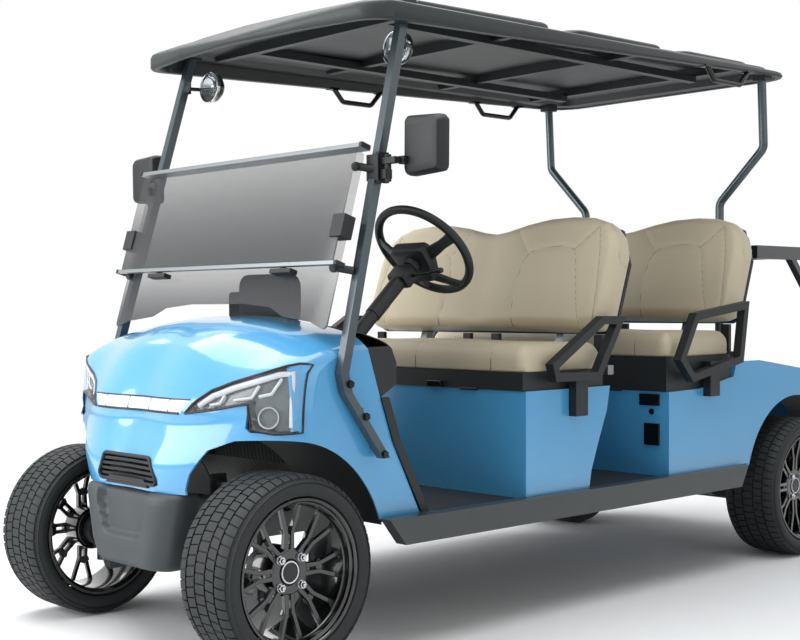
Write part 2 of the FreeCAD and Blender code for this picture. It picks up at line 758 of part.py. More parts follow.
# Roof: a moulded tray with a thick edge, raised panels and ribs below
roof_front_setback = 350.0
roof_front_y = front_axle_y + roof_front_setback
roof_rear_reach = 12.0
roof_rear_y = rear_axle_y + roof_rear_reach
roof_thickness = 46.0
roof_rim = 26.0
roof_skin = 10.0
roof_corner = 90.0
roof_bow = 60.0
roof_edge_round = 14.0
roof_panel_rise = 14.0
roof_panel_inset = 80.0
roof_rib_width = 30.0
roof_rib_shares = (0.12, 0.36, 0.62, 0.88)
roof_panel_shares = ((0.06, 0.46), (0.5, 0.94))


def roof_plan(margin):
    x = roof_half_width - margin
    y0 = roof_front_y + roof_bow + margin
    y1 = roof_rear_y - margin
    return [(-x, y0), (0, roof_front_y + margin), (x, y0), (x, y1), (-x, y1)]


def roof():
    top_z = roof_edge_z + roof_thickness
    body = prism_z(roof_plan(0), roof_edge_z, top_z, roof_corner)
    hollow = prism_z(roof_plan(roof_rim), roof_edge_z - cut_overrun, top_z - roof_skin, roof_corner - roof_rim)
    length = roof_rear_y - roof_front_y
    panels = []
    for start, end in roof_panel_shares:
        y0 = roof_front_y + roof_bow + start * (length - roof_bow)
        y1 = roof_front_y + roof_bow + end * (length - roof_bow)
        x = roof_half_width - roof_panel_inset
        panels.append(prism_z([(-x, y0), (x, y0), (x, y1), (-x, y1)], top_z, top_z + roof_panel_rise, roof_corner / 2))
    ribs = []
    for share in roof_rib_shares:
        y = roof_front_y + share * length
        x = roof_half_width - roof_rim
        ribs.append(box(-x, x, y, y + roof_rib_width, top_z - roof_skin - roof_rib_width, top_z - roof_skin))
    return fused([body.cut(hollow)] + panels + ribs)


# Roof handles: two bent grab bars on each side
handle_radius = 9.0
handle_inset = 18.0
handle_x = roof_half_width - handle_inset
handle_drop = 56.0
handle_slope = 38.0
front_handle_y = -207.0
front_handle_length = 225.0
rear_handle_y = 601.0
rear_handle_length = 256.0


def roof_handles():
    bars = []
    for y0, y1 in ((front_handle_y, front_handle_y + front_handle_length),
                   (rear_handle_y, rear_handle_y + rear_handle_length)):
        top = roof_edge_z - seat_gap
        low = top - handle_drop
        above = top + handle_drop / 2
        points = [Vec(handle_x, y0 - handle_slope / 2, above), Vec(handle_x, y0 + handle_slope, low),
                  Vec(handle_x, y1 - handle_slope, low), Vec(handle_x, y1 + handle_slope / 2, above)]
        level = box(handle_x - handle_drop, handle_x + handle_drop, y0 - handle_drop, y1 + handle_drop, top, 2 * top)
        bars += both_sides(flat_sided_tube(points, handle_radius, rod_sides).cut(level))
    return bars


# Side mirrors: a clamp on the pillar, an arm and the mirror's housing
mirror_proud = 20.0
mirror_width = 146.0
mirror_x0 = body_half_width + mirror_proud
mirror_x1 = mirror_x0 + mirror_width
mirror_z0 = 1331.0
mirror_z1 = 1483.0
mirror_depth = 46.0
mirror_setback = 372.0
mirror_y = front_axle_y + mirror_setback
mirror_corner = 20.0
mirror_arm_z = 1345.0
mirror_arm_radius = 13.0


def pillar_point(z):
    """Middle of the front pillar at a height above its knee."""
    low_z = pillar_knee_z + 2 * pillar_knee_round
    share = (z - low_z) / (roof_edge_z - low_z)
    low_y = front_axle_y + pillar_knee_f + pillar_knee_round / 2
    return (pillar_knee_x + share * (pillar_top_x - pillar_knee_x),
            low_y + share * (front_axle_y + pillar_top_f - low_y))


def pillar_shift(height):
    """How far the pillar leans inward and rearward over a height."""
    x0, y0 = pillar_point(mirror_arm_z)
    x1, y1 = pillar_point(mirror_arm_z + height)
    return x0 - x1, y1 - y0


def side_mirror():
    x, y = pillar_point(mirror_arm_z)
    outline = [(mirror_x0, mirror_z0), (mirror_x1, mirror_z0), (mirror_x1, mirror_z1), (mirror_x0, mirror_z1)]
    housing = prism_y(outline, mirror_y - mirror_depth / 2, mirror_y + mirror_depth / 2, mirror_corner)
    start = x + pillar_width / 2 + seat_gap + pillar_shift(pillar_depth)[0]
    clamp = box(start, start + mirror_arm_radius, y - pillar_depth / 2, y + pillar_depth / 2,
                mirror_arm_z - pillar_depth, mirror_arm_z + pillar_depth)
    arm = rod(Vec(start + mirror_arm_radius, y, mirror_arm_z), Vec(mirror_x0 + mirror_corner, mirror_y, mirror_arm_z),
              mirror_arm_radius)
    return fused([housing, clamp, arm])


# Pillar lamps: small round lamps inside the pillars' tops
spot_radius = 53.0
spot_depth = 40.0
spot_z = 1690.0
spot_inward = 66.0
spot_behind = 98.0


def pillar_lamp():
    x, y = pillar_point(spot_z)
    seat_y = y + pillar_depth / 2 + seat_gap + pillar_shift(mirror_arm_radius)[1]
    centre = Vec(x - spot_inward, y + spot_behind, spot_z)
    bowl = Part.makeCylinder(spot_radius, spot_depth, centre, Vec(0, -1, 0))
    foot = box(x - mirror_arm_radius, x + mirror_arm_radius, seat_y, seat_y + mirror_arm_radius,
               spot_z - mirror_arm_radius, spot_z + mirror_arm_radius)
    stem = rod(Vec(centre.x, centre.y - spot_depth / 2, spot_z), Vec(x, seat_y + mirror_arm_radius / 2, spot_z),
               mirror_arm_radius / 2)
    return fused([bowl, stem, foot])


# Seat boxes and rear body
seat_box_front_y = -435.0
seat_box_top = 692.0
seat_box_shares = ((0.0, 0.0), (0.0, 1.0), (1.0, 1.0), (0.96, 0.76), (0.86, 0.47), (0.77, 0.19), (0.74, 0.0))
seat_box_length = 423.0


def shell_box(points, half_width, wall):
    """Walls round a side outline, open at the top and the bottom."""
    outer = prism_x(points, -half_width, half_width)
    inner_points = inset_ring(points, wall)
    return outer.cut(prism_x(inner_points, -half_width + wall, half_width - wall))


def inset_ring(points, wall):
    """Closed outline moved inward by a wall at its two ends and past its top and bottom."""
    top = max(z for _, z in points)
    low = min(z for _, z in points)
    middle = (max(y for y, _ in points) + min(y for y, _ in points)) / 2
    ring = []
    for y, z in points:
        moved = y + wall if y < middle else y - wall
        if z == top:
            z = z + cut_overrun
        if z == low:
            z = z - cut_overrun
        ring.append((moved, z))
    return ring


def sill_step():
    """Space over both sills, where the body panels step up."""
    return both_sides(box(sill_inner_x - seat_gap, sill_half_width, sill_front_y, sill_rear_y + sill_depth, sill_bottom,
                          sill_top + seat_gap))


def front_seat_box():
    height = seat_box_top - floor_top - seat_gap
    points = placed(seat_box_shares, seat_box_front_y, floor_top + seat_gap, seat_box_length, height)
    return without(shell_box(points, body_half_width, sheet_wall), sill_step())


rear_box_top = 660.0
rear_body_margin = 70.0
rear_body_rear_y = rear_end_y - rear_body_margin
rear_arch_radius = 345.0
rear_arch_shift = 10.0
rear_body_shares = ((0.0, 0.0), (0.0, 0.76), (0.155, 0.77), (0.335, 0.86), (0.351, 1.0), (0.48, 1.0), (0.72, 0.9),
                    (0.94, 0.74), (1.0, 0.5), (1.0, 0.1), (0.96, 0.0))
rear_body_top = 746.0
well_inset = 164.0
well_half_width = body_half_width - well_inset
well_reach = 95.0
well_front_y = rear_axle_y - well_reach
well_margin = 30.0
well_rear_y = rear_body_rear_y - well_margin
seat_bay_inset = 56.0
seat_bay_half_width = body_half_width - seat_bay_inset
seat_bay_margin = 30.0
seat_bay_front_y = rear_box_front_y + seat_bay_margin
seat_bay_reach = 400.0
seat_bay_rear_y = rear_box_front_y + seat_bay_reach
rear_liner_low_angle = 40.0
rear_liner_high_angle = 155.0


def rear_body_points():
    length = rear_body_rear_y - rear_box_front_y
    height = rear_body_top - floor_top - seat_gap
    return placed(rear_body_shares, rear_box_front_y + seat_gap, floor_top + seat_gap, length, height)


def rear_body():
    points = rear_body_points()
    outer = prism_x(points, -body_half_width, body_half_width)
    inner_x = body_half_width - sheet_wall
    inner = prism_x(inset_closed(points, sheet_wall), -inner_x, inner_x)
    under = box(-inner_x, inner_x, rear_box_front_y + sheet_wall + seat_gap, well_rear_y, floor_top - cut_overrun,
                floor_top + 2 * sheet_wall)
    seat_bay = box(-seat_bay_half_width, seat_bay_half_width, seat_bay_front_y, seat_bay_rear_y,
                   rear_box_top - cut_overrun, rear_body_top + cut_overrun)
    well = box(-well_half_width, well_half_width, well_front_y, well_rear_y, floor_top, rear_body_top + cut_overrun)
    arches = both_sides(arch_cutter(rear_axle_y, rear_arch_shift, rear_arch_radius, well_half_width,
                                    body_half_width + cut_overrun))
    slots = both_sides(bumper_arm(seat_gap))
    return without(outer, [inner, under, seat_bay, well] + arches + slots + sill_step())


def body_top(y):
    """Height of the rear body's top edge at a place along Y."""
    points = rear_body_points()[1:]
    for (y0, z0), (y1, z1) in zip(points, points[1:]):
        if y0 <= y <= y1:
            return z0 + (z1 - z0) * (y - y0) / (y1 - y0)
    return points[0][1]


def rear_liners():
    x1 = body_half_width - sheet_wall - seat_gap
    x0 = well_half_width + sheet_wall
    return both_sides(arch_sheet(rear_axle_y, rear_arch_shift, rear_arch_radius + liner_gap, x0, x1,
                                 rear_liner_low_angle, rear_liner_high_angle))


# Bag well: the black tub behind the rear seat
well_floor_z = 560.0
well_drop = 10.0
well_top_z = rear_box_top - well_drop


def bag_well():
    x = well_half_width - seat_gap
    y0, y1 = well_front_y + seat_gap, well_rear_y - seat_gap
    top = well_top_z
    tub = box(-x, x, y0, y1, well_floor_z, top)
    inside = box(-x + sheet_wall, x - sheet_wall, y0 + sheet_wall, y1 - sheet_wall, well_floor_z + sheet_wall,
                 top + cut_overrun)
    return tub.cut(inside)


# Seats: pan, cushion, backrest, shell and frame, all repeated for the rear bench
pan_inset = 8.0
pan_half_width = body_half_width - pan_inset
pan_lap = 5.0
pan_front_y = seat_box_front_y - pan_lap
pan_rear_y = -40.0
pan_bottom = seat_box_top + seat_gap
pan_height = 56.0
hinge_x = 330.0
hinge_length = 70.0
hinge_radius = 4.6
cushion_inset = 6.0
cushion_half_width = body_half_width - cushion_inset
cushion_height = 80.0
cushion_front_lap = 4.0
cushion_corner = 28.0
backrest_half_width = cushion_half_width
backrest_thickness = 82.0
backrest_height = 400.0
backrest_low_y = -52.0
backrest_low_z = 884.0
backrest_lean = 19.7
shell_thickness = 14.0
hump_shares = ((-1.0, 0.04), (-1.0, 0.62), (-0.9, 0.93), (-0.72, 1.0), (-0.36, 1.0), (-0.14, 0.94), (0.0, 0.88),
               (0.14, 0.94), (0.36, 1.0), (0.72, 1.0), (0.9, 0.93), (1.0, 0.62), (1.0, 0.04), (0.94, 0.0), (-0.94, 0.0))


def seat_offset(row):
    return Vec(0, row * seat_pitch, row * rear_seat_rise)


def seat_pan(row):
    """Tray under a cushion, open below; the rear one follows the body's rising top edge."""
    offset = seat_offset(row)
    top = pan_bottom + pan_height + offset.z
    y0, y1 = pan_front_y + offset.y, pan_rear_y + offset.y
    if row:
        low = [(y, z + seat_gap) for y, z in rear_body_points()[1:4]]
        slope = (low[2][1] - low[1][1]) / (low[2][0] - low[1][0])
        low = [(y0, low[0][1]), low[1], (y1, low[1][1] + slope * (y1 - low[1][0]))]
    else:
        low = [(y0, pan_bottom), (y1, pan_bottom)]
    outer = prism_x(low + [(y1, top), (y0, top)], -pan_half_width, pan_half_width)
    inner = box(-pan_half_width + sheet_wall, pan_half_width - sheet_wall, y0 + sheet_wall, y1 - sheet_wall,
                low[0][1] - cut_overrun, top - sheet_wall)
    barrel = rod(Vec(hinge_x - hinge_length / 2, y0, low[0][1]), Vec(hinge_x + hinge_length / 2, y0, low[0][1]),
                 hinge_radius)
    return fused([outer.cut(inner)] + both_sides(barrel))


def seat_cushion(row):
    z0 = pan_bottom + pan_height + seat_gap
    y0, y1 = pan_front_y + cushion_front_lap, pan_rear_y
    body = box(-cushion_half_width, cushion_half_width, y0, y1, z0, z0 + cushion_height)
    top = [edge for edge in body.Edges if edge.BoundBox.ZMin > z0 + cushion_height / 2]
    return body.makeFillet(cushion_corner, top).translated(seat_offset(row))


def lean_back(shape, row):
    """Stand a piece built upright at the backrest's foot and lean it back."""
    foot = Vec(0, backrest_low_y, backrest_low_z)
    shape = shape.rotate(Vec(0, 0, 0), Vec(1, 0, 0), -backrest_lean)
    return shape.translated(foot + seat_offset(row))


def backrest_outline(margin):
    return [(a * (backrest_half_width - margin), margin + b * (backrest_height - 2 * margin)) for a, b in hump_shares]


def backrest(row):
    return lean_back(prism_y(backrest_outline(0), 0, backrest_thickness), row)


def backrest_shell(row):
    y0 = backrest_thickness + seat_gap
    return lean_back(prism_y(backrest_outline(panel_wall), y0, y0 + shell_thickness), row)


seat_frame_x = 300.0
seat_frame_size = 30.0
seat_frame_reach = 190.0
belt_bar_z = 742.0
seat_frame_foot_z = (floor_top + seat_gap, rear_body_top + seat_gap)


def seat_frame_y():
    return seat_box_front_y + seat_box_length + seat_gap + seat_frame_size / 2


def seat_frame(row):
    """Two uprights behind the backrest and the cross bar that carries the belts."""
    lean = math.radians(backrest_lean)
    gap = backrest_thickness + shell_thickness + 2 * seat_gap
    behind = gap / math.cos(lean)
    foot_y = seat_frame_y()
    low = seat_frame_foot_z[row] - row * rear_seat_rise
    line_y = backrest_low_y + behind + seat_frame_size / 2 / math.cos(lean)
    drop = gap * math.sin(lean) + seat_frame_size
    path = [(foot_y, low), (foot_y, belt_bar_z + seat_frame_size),
            (line_y - drop * math.tan(lean), backrest_low_z - drop),
            (line_y + seat_frame_reach * math.tan(lean), backrest_low_z + seat_frame_reach)]
    uprights = both_sides(prism_x(strip(path, seat_frame_size), seat_frame_x, seat_frame_x + seat_frame_size))
    half = seat_frame_size / 2
    bar = box(-pan_half_width, pan_half_width, foot_y - half, foot_y + half, belt_bar_z - half, belt_bar_z + half)
    return fused(uprights + [bar]).translated(seat_offset(row))

# Armrests: flat loops beside the seats
arm_proud = 14.0
arm_x = body_half_width + arm_proud
arm_width = 30.0
arm_bar = 26.0
arm_length = 373.0
arm_height = 202.0
arm_front_y = -361.0
arm_low_z = 716.0
arm_row_shares = (((0.0, 0.287), (0.686, 1.0), (1.0, 0.995), (0.643, 0.0), (0.051, 0.015)),
                  ((-0.196, 0.119), (0.062, 0.901), (0.97, 1.099), (0.869, 0.02), (0.016, -0.267)))
arm_bracket_height = 110.0
arm_bracket_width = 60.0
arm_bracket_share = 0.36


def armrest(row):
    points = placed(arm_row_shares[row], arm_front_y, arm_low_z, arm_length, arm_height)
    ring = outline_face([Vec(arm_x, y, z) for y, z in points])
    hole = ring.makeOffset2D(-arm_bar)
    loop = ring.extrude(Vec(arm_width, 0, 0)).cut(hole.extrude(Vec(arm_width, 0, 0)))
    return loop.translated(seat_offset(row))


def armrests(row):
    bracket_y = arm_front_y + arm_length * arm_bracket_share
    bracket = box(body_half_width + seat_gap, arm_x + arm_width / 2, bracket_y, bracket_y + arm_bracket_width,
                  arm_low_z - arm_bracket_height, arm_low_z + arm_bar / 2).translated(seat_offset(row))
    return both_sides(fused([armrest(row), bracket]))


# Seat belts: buckles on stalks and the retractors on the belt bar
buckle_width = 34.0
buckle_depth = 16.0
buckle_height = 98.0
buckle_share_list = (-0.92, -0.12, 0.12, 0.92)
retractor_size = 56.0
retractor_depth = 37.0
retractor_share_list = (-0.76, 0.76)


def seat_belts(row):
    foot_y = seat_frame_y()
    top = belt_bar_z + seat_frame_size / 2 + seat_gap
    solids = []
    for share in buckle_share_list:
        x = share * pan_half_width
        solids.append(box(x - buckle_width / 2, x + buckle_width / 2, foot_y - buckle_depth / 2,
                          foot_y + buckle_depth / 2, top, top + buckle_height))
    for share in retractor_share_list:
        x = share * pan_half_width
        y0 = foot_y + seat_frame_size / 2 + seat_gap
        solids.append(box(x - retractor_size / 2, x + retractor_size / 2, y0, y0 + retractor_depth,
                          belt_bar_z - retractor_size / 4, belt_bar_z + retractor_size))
    return [solid.translated(seat_offset(row)) for solid in solids]


# Bag rack: side bars, cross bar and braces behind the rear seat
rack_inset = 76.0
rack_x = body_half_width - rack_inset
rack_bar_width = 26.0
rack_bar_height = 50.0
rack_z = 1148.0
rack_foot_z = 672.0
rack_front_reach = 160.0
rack_front_y = rear_axle_y - rack_front_reach
rack_rear_reach = 330.0
rack_rear_y = rear_axle_y + rack_rear_reach
brace_size = 26.0
brace_foot_margin = 60.0
brace_foot_y = rear_body_rear_y - brace_foot_margin


def bag_rack():
    bar = box(rack_x - rack_bar_width / 2, rack_x + rack_bar_width / 2, rack_front_y, rack_rear_y,
              rack_z - rack_bar_height / 2, rack_z + rack_bar_height / 2)
    cross = [box(-rack_x, rack_x, y - rack_bar_width, y, rack_z - rack_bar_width / 2, rack_z + rack_bar_width / 2)
             for y in (rack_rear_y, rear_pillar_y + rear_pillar_radius + rack_bar_width + seat_gap)]
    brace_top = (rack_front_y + rack_rear_y) / 2
    path = [(brace_top, rack_z), (rack_rear_y, (rack_z + rack_foot_z) / 2), (brace_foot_y, rack_foot_z)]
    brace = prism_x(strip(path, brace_size), rack_x - rack_bar_width / 2, rack_x + rack_bar_width / 2)
    level = box(rack_x - rack_bar_width, rack_x + rack_bar_width, brace_foot_y - brace_size * 2, brace_foot_y + brace_size,
                0, rack_foot_z)
    return fused(both_sides(bar) + cross + both_sides(brace.cut(level)))

# Battery pack and motor with the rear axle
battery_half_width = 300.0
battery_length = 300.0
battery_height = 230.0


def battery_pack():
    y0 = seat_box_front_y + 2 * panel_wall
    return box(-battery_half_width, battery_half_width, y0, y0 + battery_length, floor_top + seat_gap,
               floor_top + battery_height)


hub_inward = 40.0
hub_gap = 2.0
stub_radius = 20.0
stub_reach = 30.0
axle_tube_radius = 36.0
axle_half_length = rear_track / 2 - hub_inward - hub_gap
diff_radius = 95.0
diff_width = 120.0
drum_radius = 92.0
drum_width = 40.0
motor_radius = 88.0
motor_length = 200.0
motor_forward = 57.0


def rear_axle():
    centre = Vec(-axle_half_length, rear_axle_y, axle_z)
    tube = Part.makeCylinder(axle_tube_radius, 2 * axle_half_length, centre, Vec(1, 0, 0))
    diff = Part.makeCylinder(diff_radius, diff_width, Vec(-diff_width / 2, rear_axle_y, axle_z), Vec(1, 0, 0))
    motor = Part.makeCylinder(motor_radius, motor_length, Vec(diff_width / 2, rear_axle_y + motor_forward, axle_z),
                              Vec(1, 0, 0))
    drums = both_sides(Part.makeCylinder(drum_radius, drum_width, Vec(axle_half_length - drum_width, rear_axle_y, axle_z),
                                         Vec(1, 0, 0)))
    stubs = both_sides(rod(Vec(axle_half_length, rear_axle_y, axle_z),
                           Vec(rear_track / 2 + stub_reach, rear_axle_y, axle_z), stub_radius))
    return fused([tube, diff, motor] + drums + stubs)


# Rear suspension: leaf springs and dampers
spring_x = 300.0
spring_width = 50.0
spring_leaf = 8.0
spring_leaves = 3
spring_half_length = 330.0
spring_sag = 60.0
spring_leaf_step = 70.0


def leaf_spring():
    leaves = []
    top = axle_z - axle_tube_radius - seat_gap
    for number in range(spring_leaves):
        half = spring_half_length - number * spring_leaf_step
        sag = spring_sag * (half / spring_half_length) ** 2
        z = top - (number + 1) * spring_leaf
        low = Part.Arc(Vec(0, rear_axle_y - half, z + sag), Vec(0, rear_axle_y, z), Vec(0, rear_axle_y + half, z + sag))
        high = Part.Arc(Vec(0, rear_axle_y + half, z + sag + spring_leaf), Vec(0, rear_axle_y, z + spring_leaf),
                        Vec(0, rear_axle_y - half, z + sag + spring_leaf))
        ends = [Part.makeLine(Vec(0, rear_axle_y + side * half, z + sag + (spring_leaf if side < 0 else 0)),
                              Vec(0, rear_axle_y + side * half, z + sag + (0 if side < 0 else spring_leaf)))
                for side in (1, -1)]
        face = Part.Face(Part.Wire([low.toShape(), ends[0], high.toShape(), ends[1]]))
        leaves.append(face.extrude(Vec(spring_width, 0, 0)).translated(Vec(spring_x - spring_width / 2, 0, 0)))
    return fused(leaves)


def rear_suspension():
    spring_tip_z = axle_z - axle_tube_radius - seat_gap + spring_sag
    hangers = []
    for end in (-1, 1):
        y = rear_axle_y + end * (spring_half_length - spring_leaf_step / 2)
        hangers.append(box(rail_x + rail_width / 2 + seat_gap, spring_x + spring_width / 2, y - spring_width / 2,
                           y + spring_width / 2, spring_tip_z - spring_leaf, rail_z))
    return both_sides(fused([leaf_spring()] + hangers))


# Front suspension: lower and upper arms with coil dampers
arm_spread = 68.0
arm_rod = 11.0
arm_bush_radius = 15.0
arm_bush_length = 40.0
ball_radius = 17.0
ball_offset = 75.0
lower_bush_drop = 100.0
hanger_thickness = 8.0
hanger_bottom = 176.0
shock_radius = 21.0
shock_foot_share = 0.42
shock_top_reach = 23.0
shock_top_z = 470.0
tower_top = 492.0
tower_half_width = 26.0


def wishbone(ball_z, bush_x, bush_z):
    ball = Vec(kingpin_x, front_axle_y, ball_z)
    legs = []
    for side in (-1, 1):
        y = front_axle_y + side * arm_spread
        legs.append(flat_rod(Vec(bush_x, y, bush_z), ball, arm_rod))
        legs.append(flat_rod(Vec(bush_x, y - arm_bush_length / 2, bush_z),
                             Vec(bush_x, y + arm_bush_length / 2, bush_z), arm_bush_radius))
    ball_ends = (ball - Vec(0, 0, ball_radius), ball + Vec(0, 0, ball_radius))
    return fused(legs + [flat_rod(*ball_ends, ball_radius)])


def lower_side():
    """Lower arm, the plate that hangs it from the rail, and the coil damper on it."""
    rail_side = rail_x + rail_width / 2
    rail_low = rail_z - rail_height / 2 - seat_gap
    plate = box(rail_side - hanger_thickness, rail_side, front_axle_y - arm_spread - arm_bush_length / 2,
                front_axle_y + arm_spread + arm_bush_length / 2, hanger_bottom, rail_low)
    bush_z = rail_low - lower_bush_drop
    arm = wishbone(axle_z - ball_offset, rail_side + arm_bush_radius - hanger_thickness / 2, bush_z)
    foot_x = rail_side + shock_foot_share * (kingpin_x - rail_side)
    foot_z = axle_z - ball_offset
    top = Vec(rail_side + shock_top_reach, front_axle_y, shock_top_z)
    foot = Vec(foot_x, front_axle_y, foot_z)
    link = flat_rod(Vec(foot_x, front_axle_y - arm_spread / 2, foot_z), Vec(foot_x, front_axle_y + arm_spread / 2, foot_z),
                    arm_rod)
    tower = box(rail_side - hanger_thickness, rail_side, front_axle_y - tower_half_width,
                front_axle_y + tower_half_width, rail_top + seat_gap, tower_top)
    pin = flat_rod(Vec(rail_side - hanger_thickness, front_axle_y, shock_top_z), top, arm_rod)
    return fused([plate, arm, link, flat_rod(foot, top, shock_radius), pin, tower])


def upper_side():
    bush_x = rail_x + rail_width / 2 + seat_gap + arm_bush_radius
    return wishbone(axle_z + ball_offset, bush_x, axle_z + ball_offset)


# Steering: knuckles, rack, column and wheel
kingpin_inset = 78.0
kingpin_x = front_track / 2 - kingpin_inset
kingpin_radius = 17.0
knuckle_height = 2 * (ball_offset - ball_radius - seat_gap)
knuckle_block = 46.0
steer_arm_length = 105.0
steer_arm_radius = 11.0


def knuckle():
    pin = Part.makeCylinder(kingpin_radius, knuckle_height, Vec(kingpin_x, front_axle_y, axle_z - knuckle_height / 2))
    stub_tip = front_track / 2 + stub_reach
    stub = rod(Vec(kingpin_x, front_axle_y, axle_z), Vec(stub_tip, front_axle_y, axle_z), stub_radius)
    drum = rod(Vec(kingpin_x, front_axle_y, axle_z), Vec(front_track / 2 - hub_inward - hub_gap, front_axle_y, axle_z),
               knuckle_block)
    arm = rod(Vec(kingpin_x, front_axle_y, axle_z), Vec(kingpin_x - steer_arm_radius, front_axle_y + steer_arm_length, axle_z),
              steer_arm_radius)
    return fused([pin, stub, drum, arm])


# Rims: a stepped barrel with a dished face of twin spokes that part near the barrel
rim_width = 190.0
rim_wall = 6.0
rim_lip = 10.0
rim_step = 30.0
rim_dish = 42.0
rim_face_thickness = 12.0
hub_radius = 52.0
spoke_pairs = 8
spoke_width = 11.0
spoke_gap = 20.0
spoke_part_share = 0.6
spoke_spread = 34.0


def spoke(side, face_x, barrel):
    """One bar of a pair: straight out from the hub, then turned away from its twin."""
    path = [(side * spoke_gap / 2, hub_radius / 2), (side * spoke_gap / 2, barrel * spoke_part_share),
            (side * spoke_spread, barrel)]
    return prism_x(strip(path, spoke_width), face_x - rim_face_thickness, face_x)


def rim(track):
    """Rim of the left side, its face towards +X."""
    x = track / 2
    half = rim_width / 2
    flange = rim_radius + rim_lip
    barrel = rim_radius - 2 * rim_wall
    outline = [(-half, flange), (-half + rim_lip, flange), (-half + rim_lip, rim_radius - rim_wall),
               (half - rim_step - rim_lip, rim_radius - rim_wall), (half - rim_lip, rim_radius), (half - rim_lip, flange),
               (half, flange), (half, rim_radius - rim_lip), (half - rim_step - rim_lip, barrel), (-half, barrel)]
    shell = spun_flats(outline, x, 0, 0, wheel_sides)
    face_x = x + half - rim_dish
    hub = rod(Vec(x - hub_inward, 0, 0), Vec(face_x + rim_face_thickness, 0, 0), hub_radius)
    spokes = []
    for pair in range(spoke_pairs):
        turn = 360.0 * pair / spoke_pairs
        spokes += [spoke(side, face_x, barrel).rotate(Vec(0, 0, 0), Vec(1, 0, 0), turn) for side in (-1, 1)]
    bore = rod(Vec(x - half, 0, 0), Vec(x + stub_reach + hub_gap, 0, 0), stub_radius + seat_gap)
    return fused([shell, hub] + spokes).cut(bore)


tyre_shares = ((-0.5, 0.3), (-0.46, 0.72), (-0.37, 0.95), (-0.25, 1.0), (0.25, 1.0), (0.37, 0.95), (0.46, 0.72),
               (0.5, 0.3))


def tyre(track):
    """Bead between the rim's flanges, then the carcass outside them."""
    bead_x = rim_width / 2 - rim_lip - seat_gap
    bead_radius = rim_radius + seat_gap
    flange = rim_radius + rim_lip + seat_gap
    carcass = [(a * tyre_width, flange + b * (tyre_radius - flange)) for a, b in tyre_shares]
    outline = [(-bead_x, bead_radius), (-bead_x, flange)] + carcass + [(bead_x, flange), (bead_x, bead_radius)]
    return spun_flats(outline, track / 2, 0, 0, wheel_sides)


def at_front(shape):
    return shape.translated(Vec(0, front_axle_y, axle_z))


def at_rear(shape):
    return shape.translated(Vec(0, rear_axle_y, axle_z))


wheel_x = 265.0
wheel_setback = 770.0
wheel_y = front_axle_y + wheel_setback
wheel_z = 1127.0
wheel_ring_radius = 163.0
wheel_grip_radius = 13.0
wheel_tilt = 42.0
wheel_hub_radius = 58.0
wheel_hub_depth = 36.0
wheel_spoke_width = 34.0
wheel_spoke_angles = (-15.0, 195.0, 70.0, 110.0)
wheel_spoke_thickness = 14.0
wheel_dish = 42.0
column_radius = 24.0
column_gap = 6.0
column_length = 470.0
column_box_size = 74.0
stalk_length = 104.0


def wheel_axis():
    tilt = math.radians(wheel_tilt)
    return Vec(0, math.cos(tilt), math.sin(tilt))


def steer_placed(shape):
    """Move a piece built about +Z at the origin onto the steering wheel's axis."""
    turn = FreeCAD.Rotation(Vec(0, 0, 1), wheel_axis())
    moved = shape.copy()
    moved.Placement = FreeCAD.Placement(Vec(wheel_x, wheel_y, wheel_z), turn).multiply(moved.Placement)
    return moved


def steering_wheel():
    section = [(wheel_grip_radius * math.cos(2 * math.pi * k / rod_sides),
                wheel_ring_radius + wheel_grip_radius * math.sin(2 * math.pi * k / rod_sides)) for k in range(rod_sides)]
    ring = spun_flats(section, 0, 0, 0, wheel_sides).rotate(Vec(0, 0, 0), Vec(0, 1, 0), -90)
    hub = Part.makeCylinder(wheel_hub_radius, wheel_hub_depth, Vec(0, 0, -wheel_dish - wheel_hub_depth / 2))
    shaft = Part.makeCylinder(column_radius / 2, wheel_dish, Vec(0, 0, -2 * wheel_dish - wheel_hub_depth / 2))
    spokes = []
    for angle in wheel_spoke_angles:
        bar = box(0, wheel_ring_radius, -wheel_spoke_width / 2, wheel_spoke_width / 2, -wheel_dish,
                  -wheel_dish + wheel_spoke_thickness)
        bar = bar.rotate(Vec(0, 0, -wheel_dish), Vec(0, 1, 0), -math.degrees(math.atan2(wheel_dish, wheel_ring_radius)))
        spokes.append(bar.rotate(Vec(0, 0, 0), Vec(0, 0, 1), angle))
    return steer_placed(fused([ring, hub, shaft] + spokes))


def steering_column():
    top = -wheel_dish - wheel_hub_depth / 2 - column_gap
    tube = Part.makeCylinder(column_radius, column_length, Vec(0, 0, top - column_length))
    half = column_box_size / 2
    switch_box = box(-half, half, -half, half, top - column_box_size, top)
    stalk = rod(Vec(half, 0, top - half), Vec(half + stalk_length, 0, top - half), wheel_spoke_thickness / 2)
    bore = Part.makeCylinder(column_radius / 2 + seat_gap, wheel_dish * 2, Vec(0, 0, top - wheel_dish))
    return steer_placed(fused([tube, switch_box, stalk]).cut(bore))


rack_radius = 12.0
rack_y = front_axle_y + steer_arm_length
tie_clearance = 1.5
tie_z = axle_z - steer_arm_radius - rack_radius - tie_clearance
rack_housing_radius = 22.0
rack_housing_half = 150.0
rack_clamp_width = 36.0


def steering_rack():
    """Rack with its tie rods, which end under the steering arms."""
    tie_end = kingpin_x - steer_arm_radius
    return rod(Vec(-tie_end, rack_y, tie_z), Vec(tie_end, rack_y, tie_z), rack_radius)


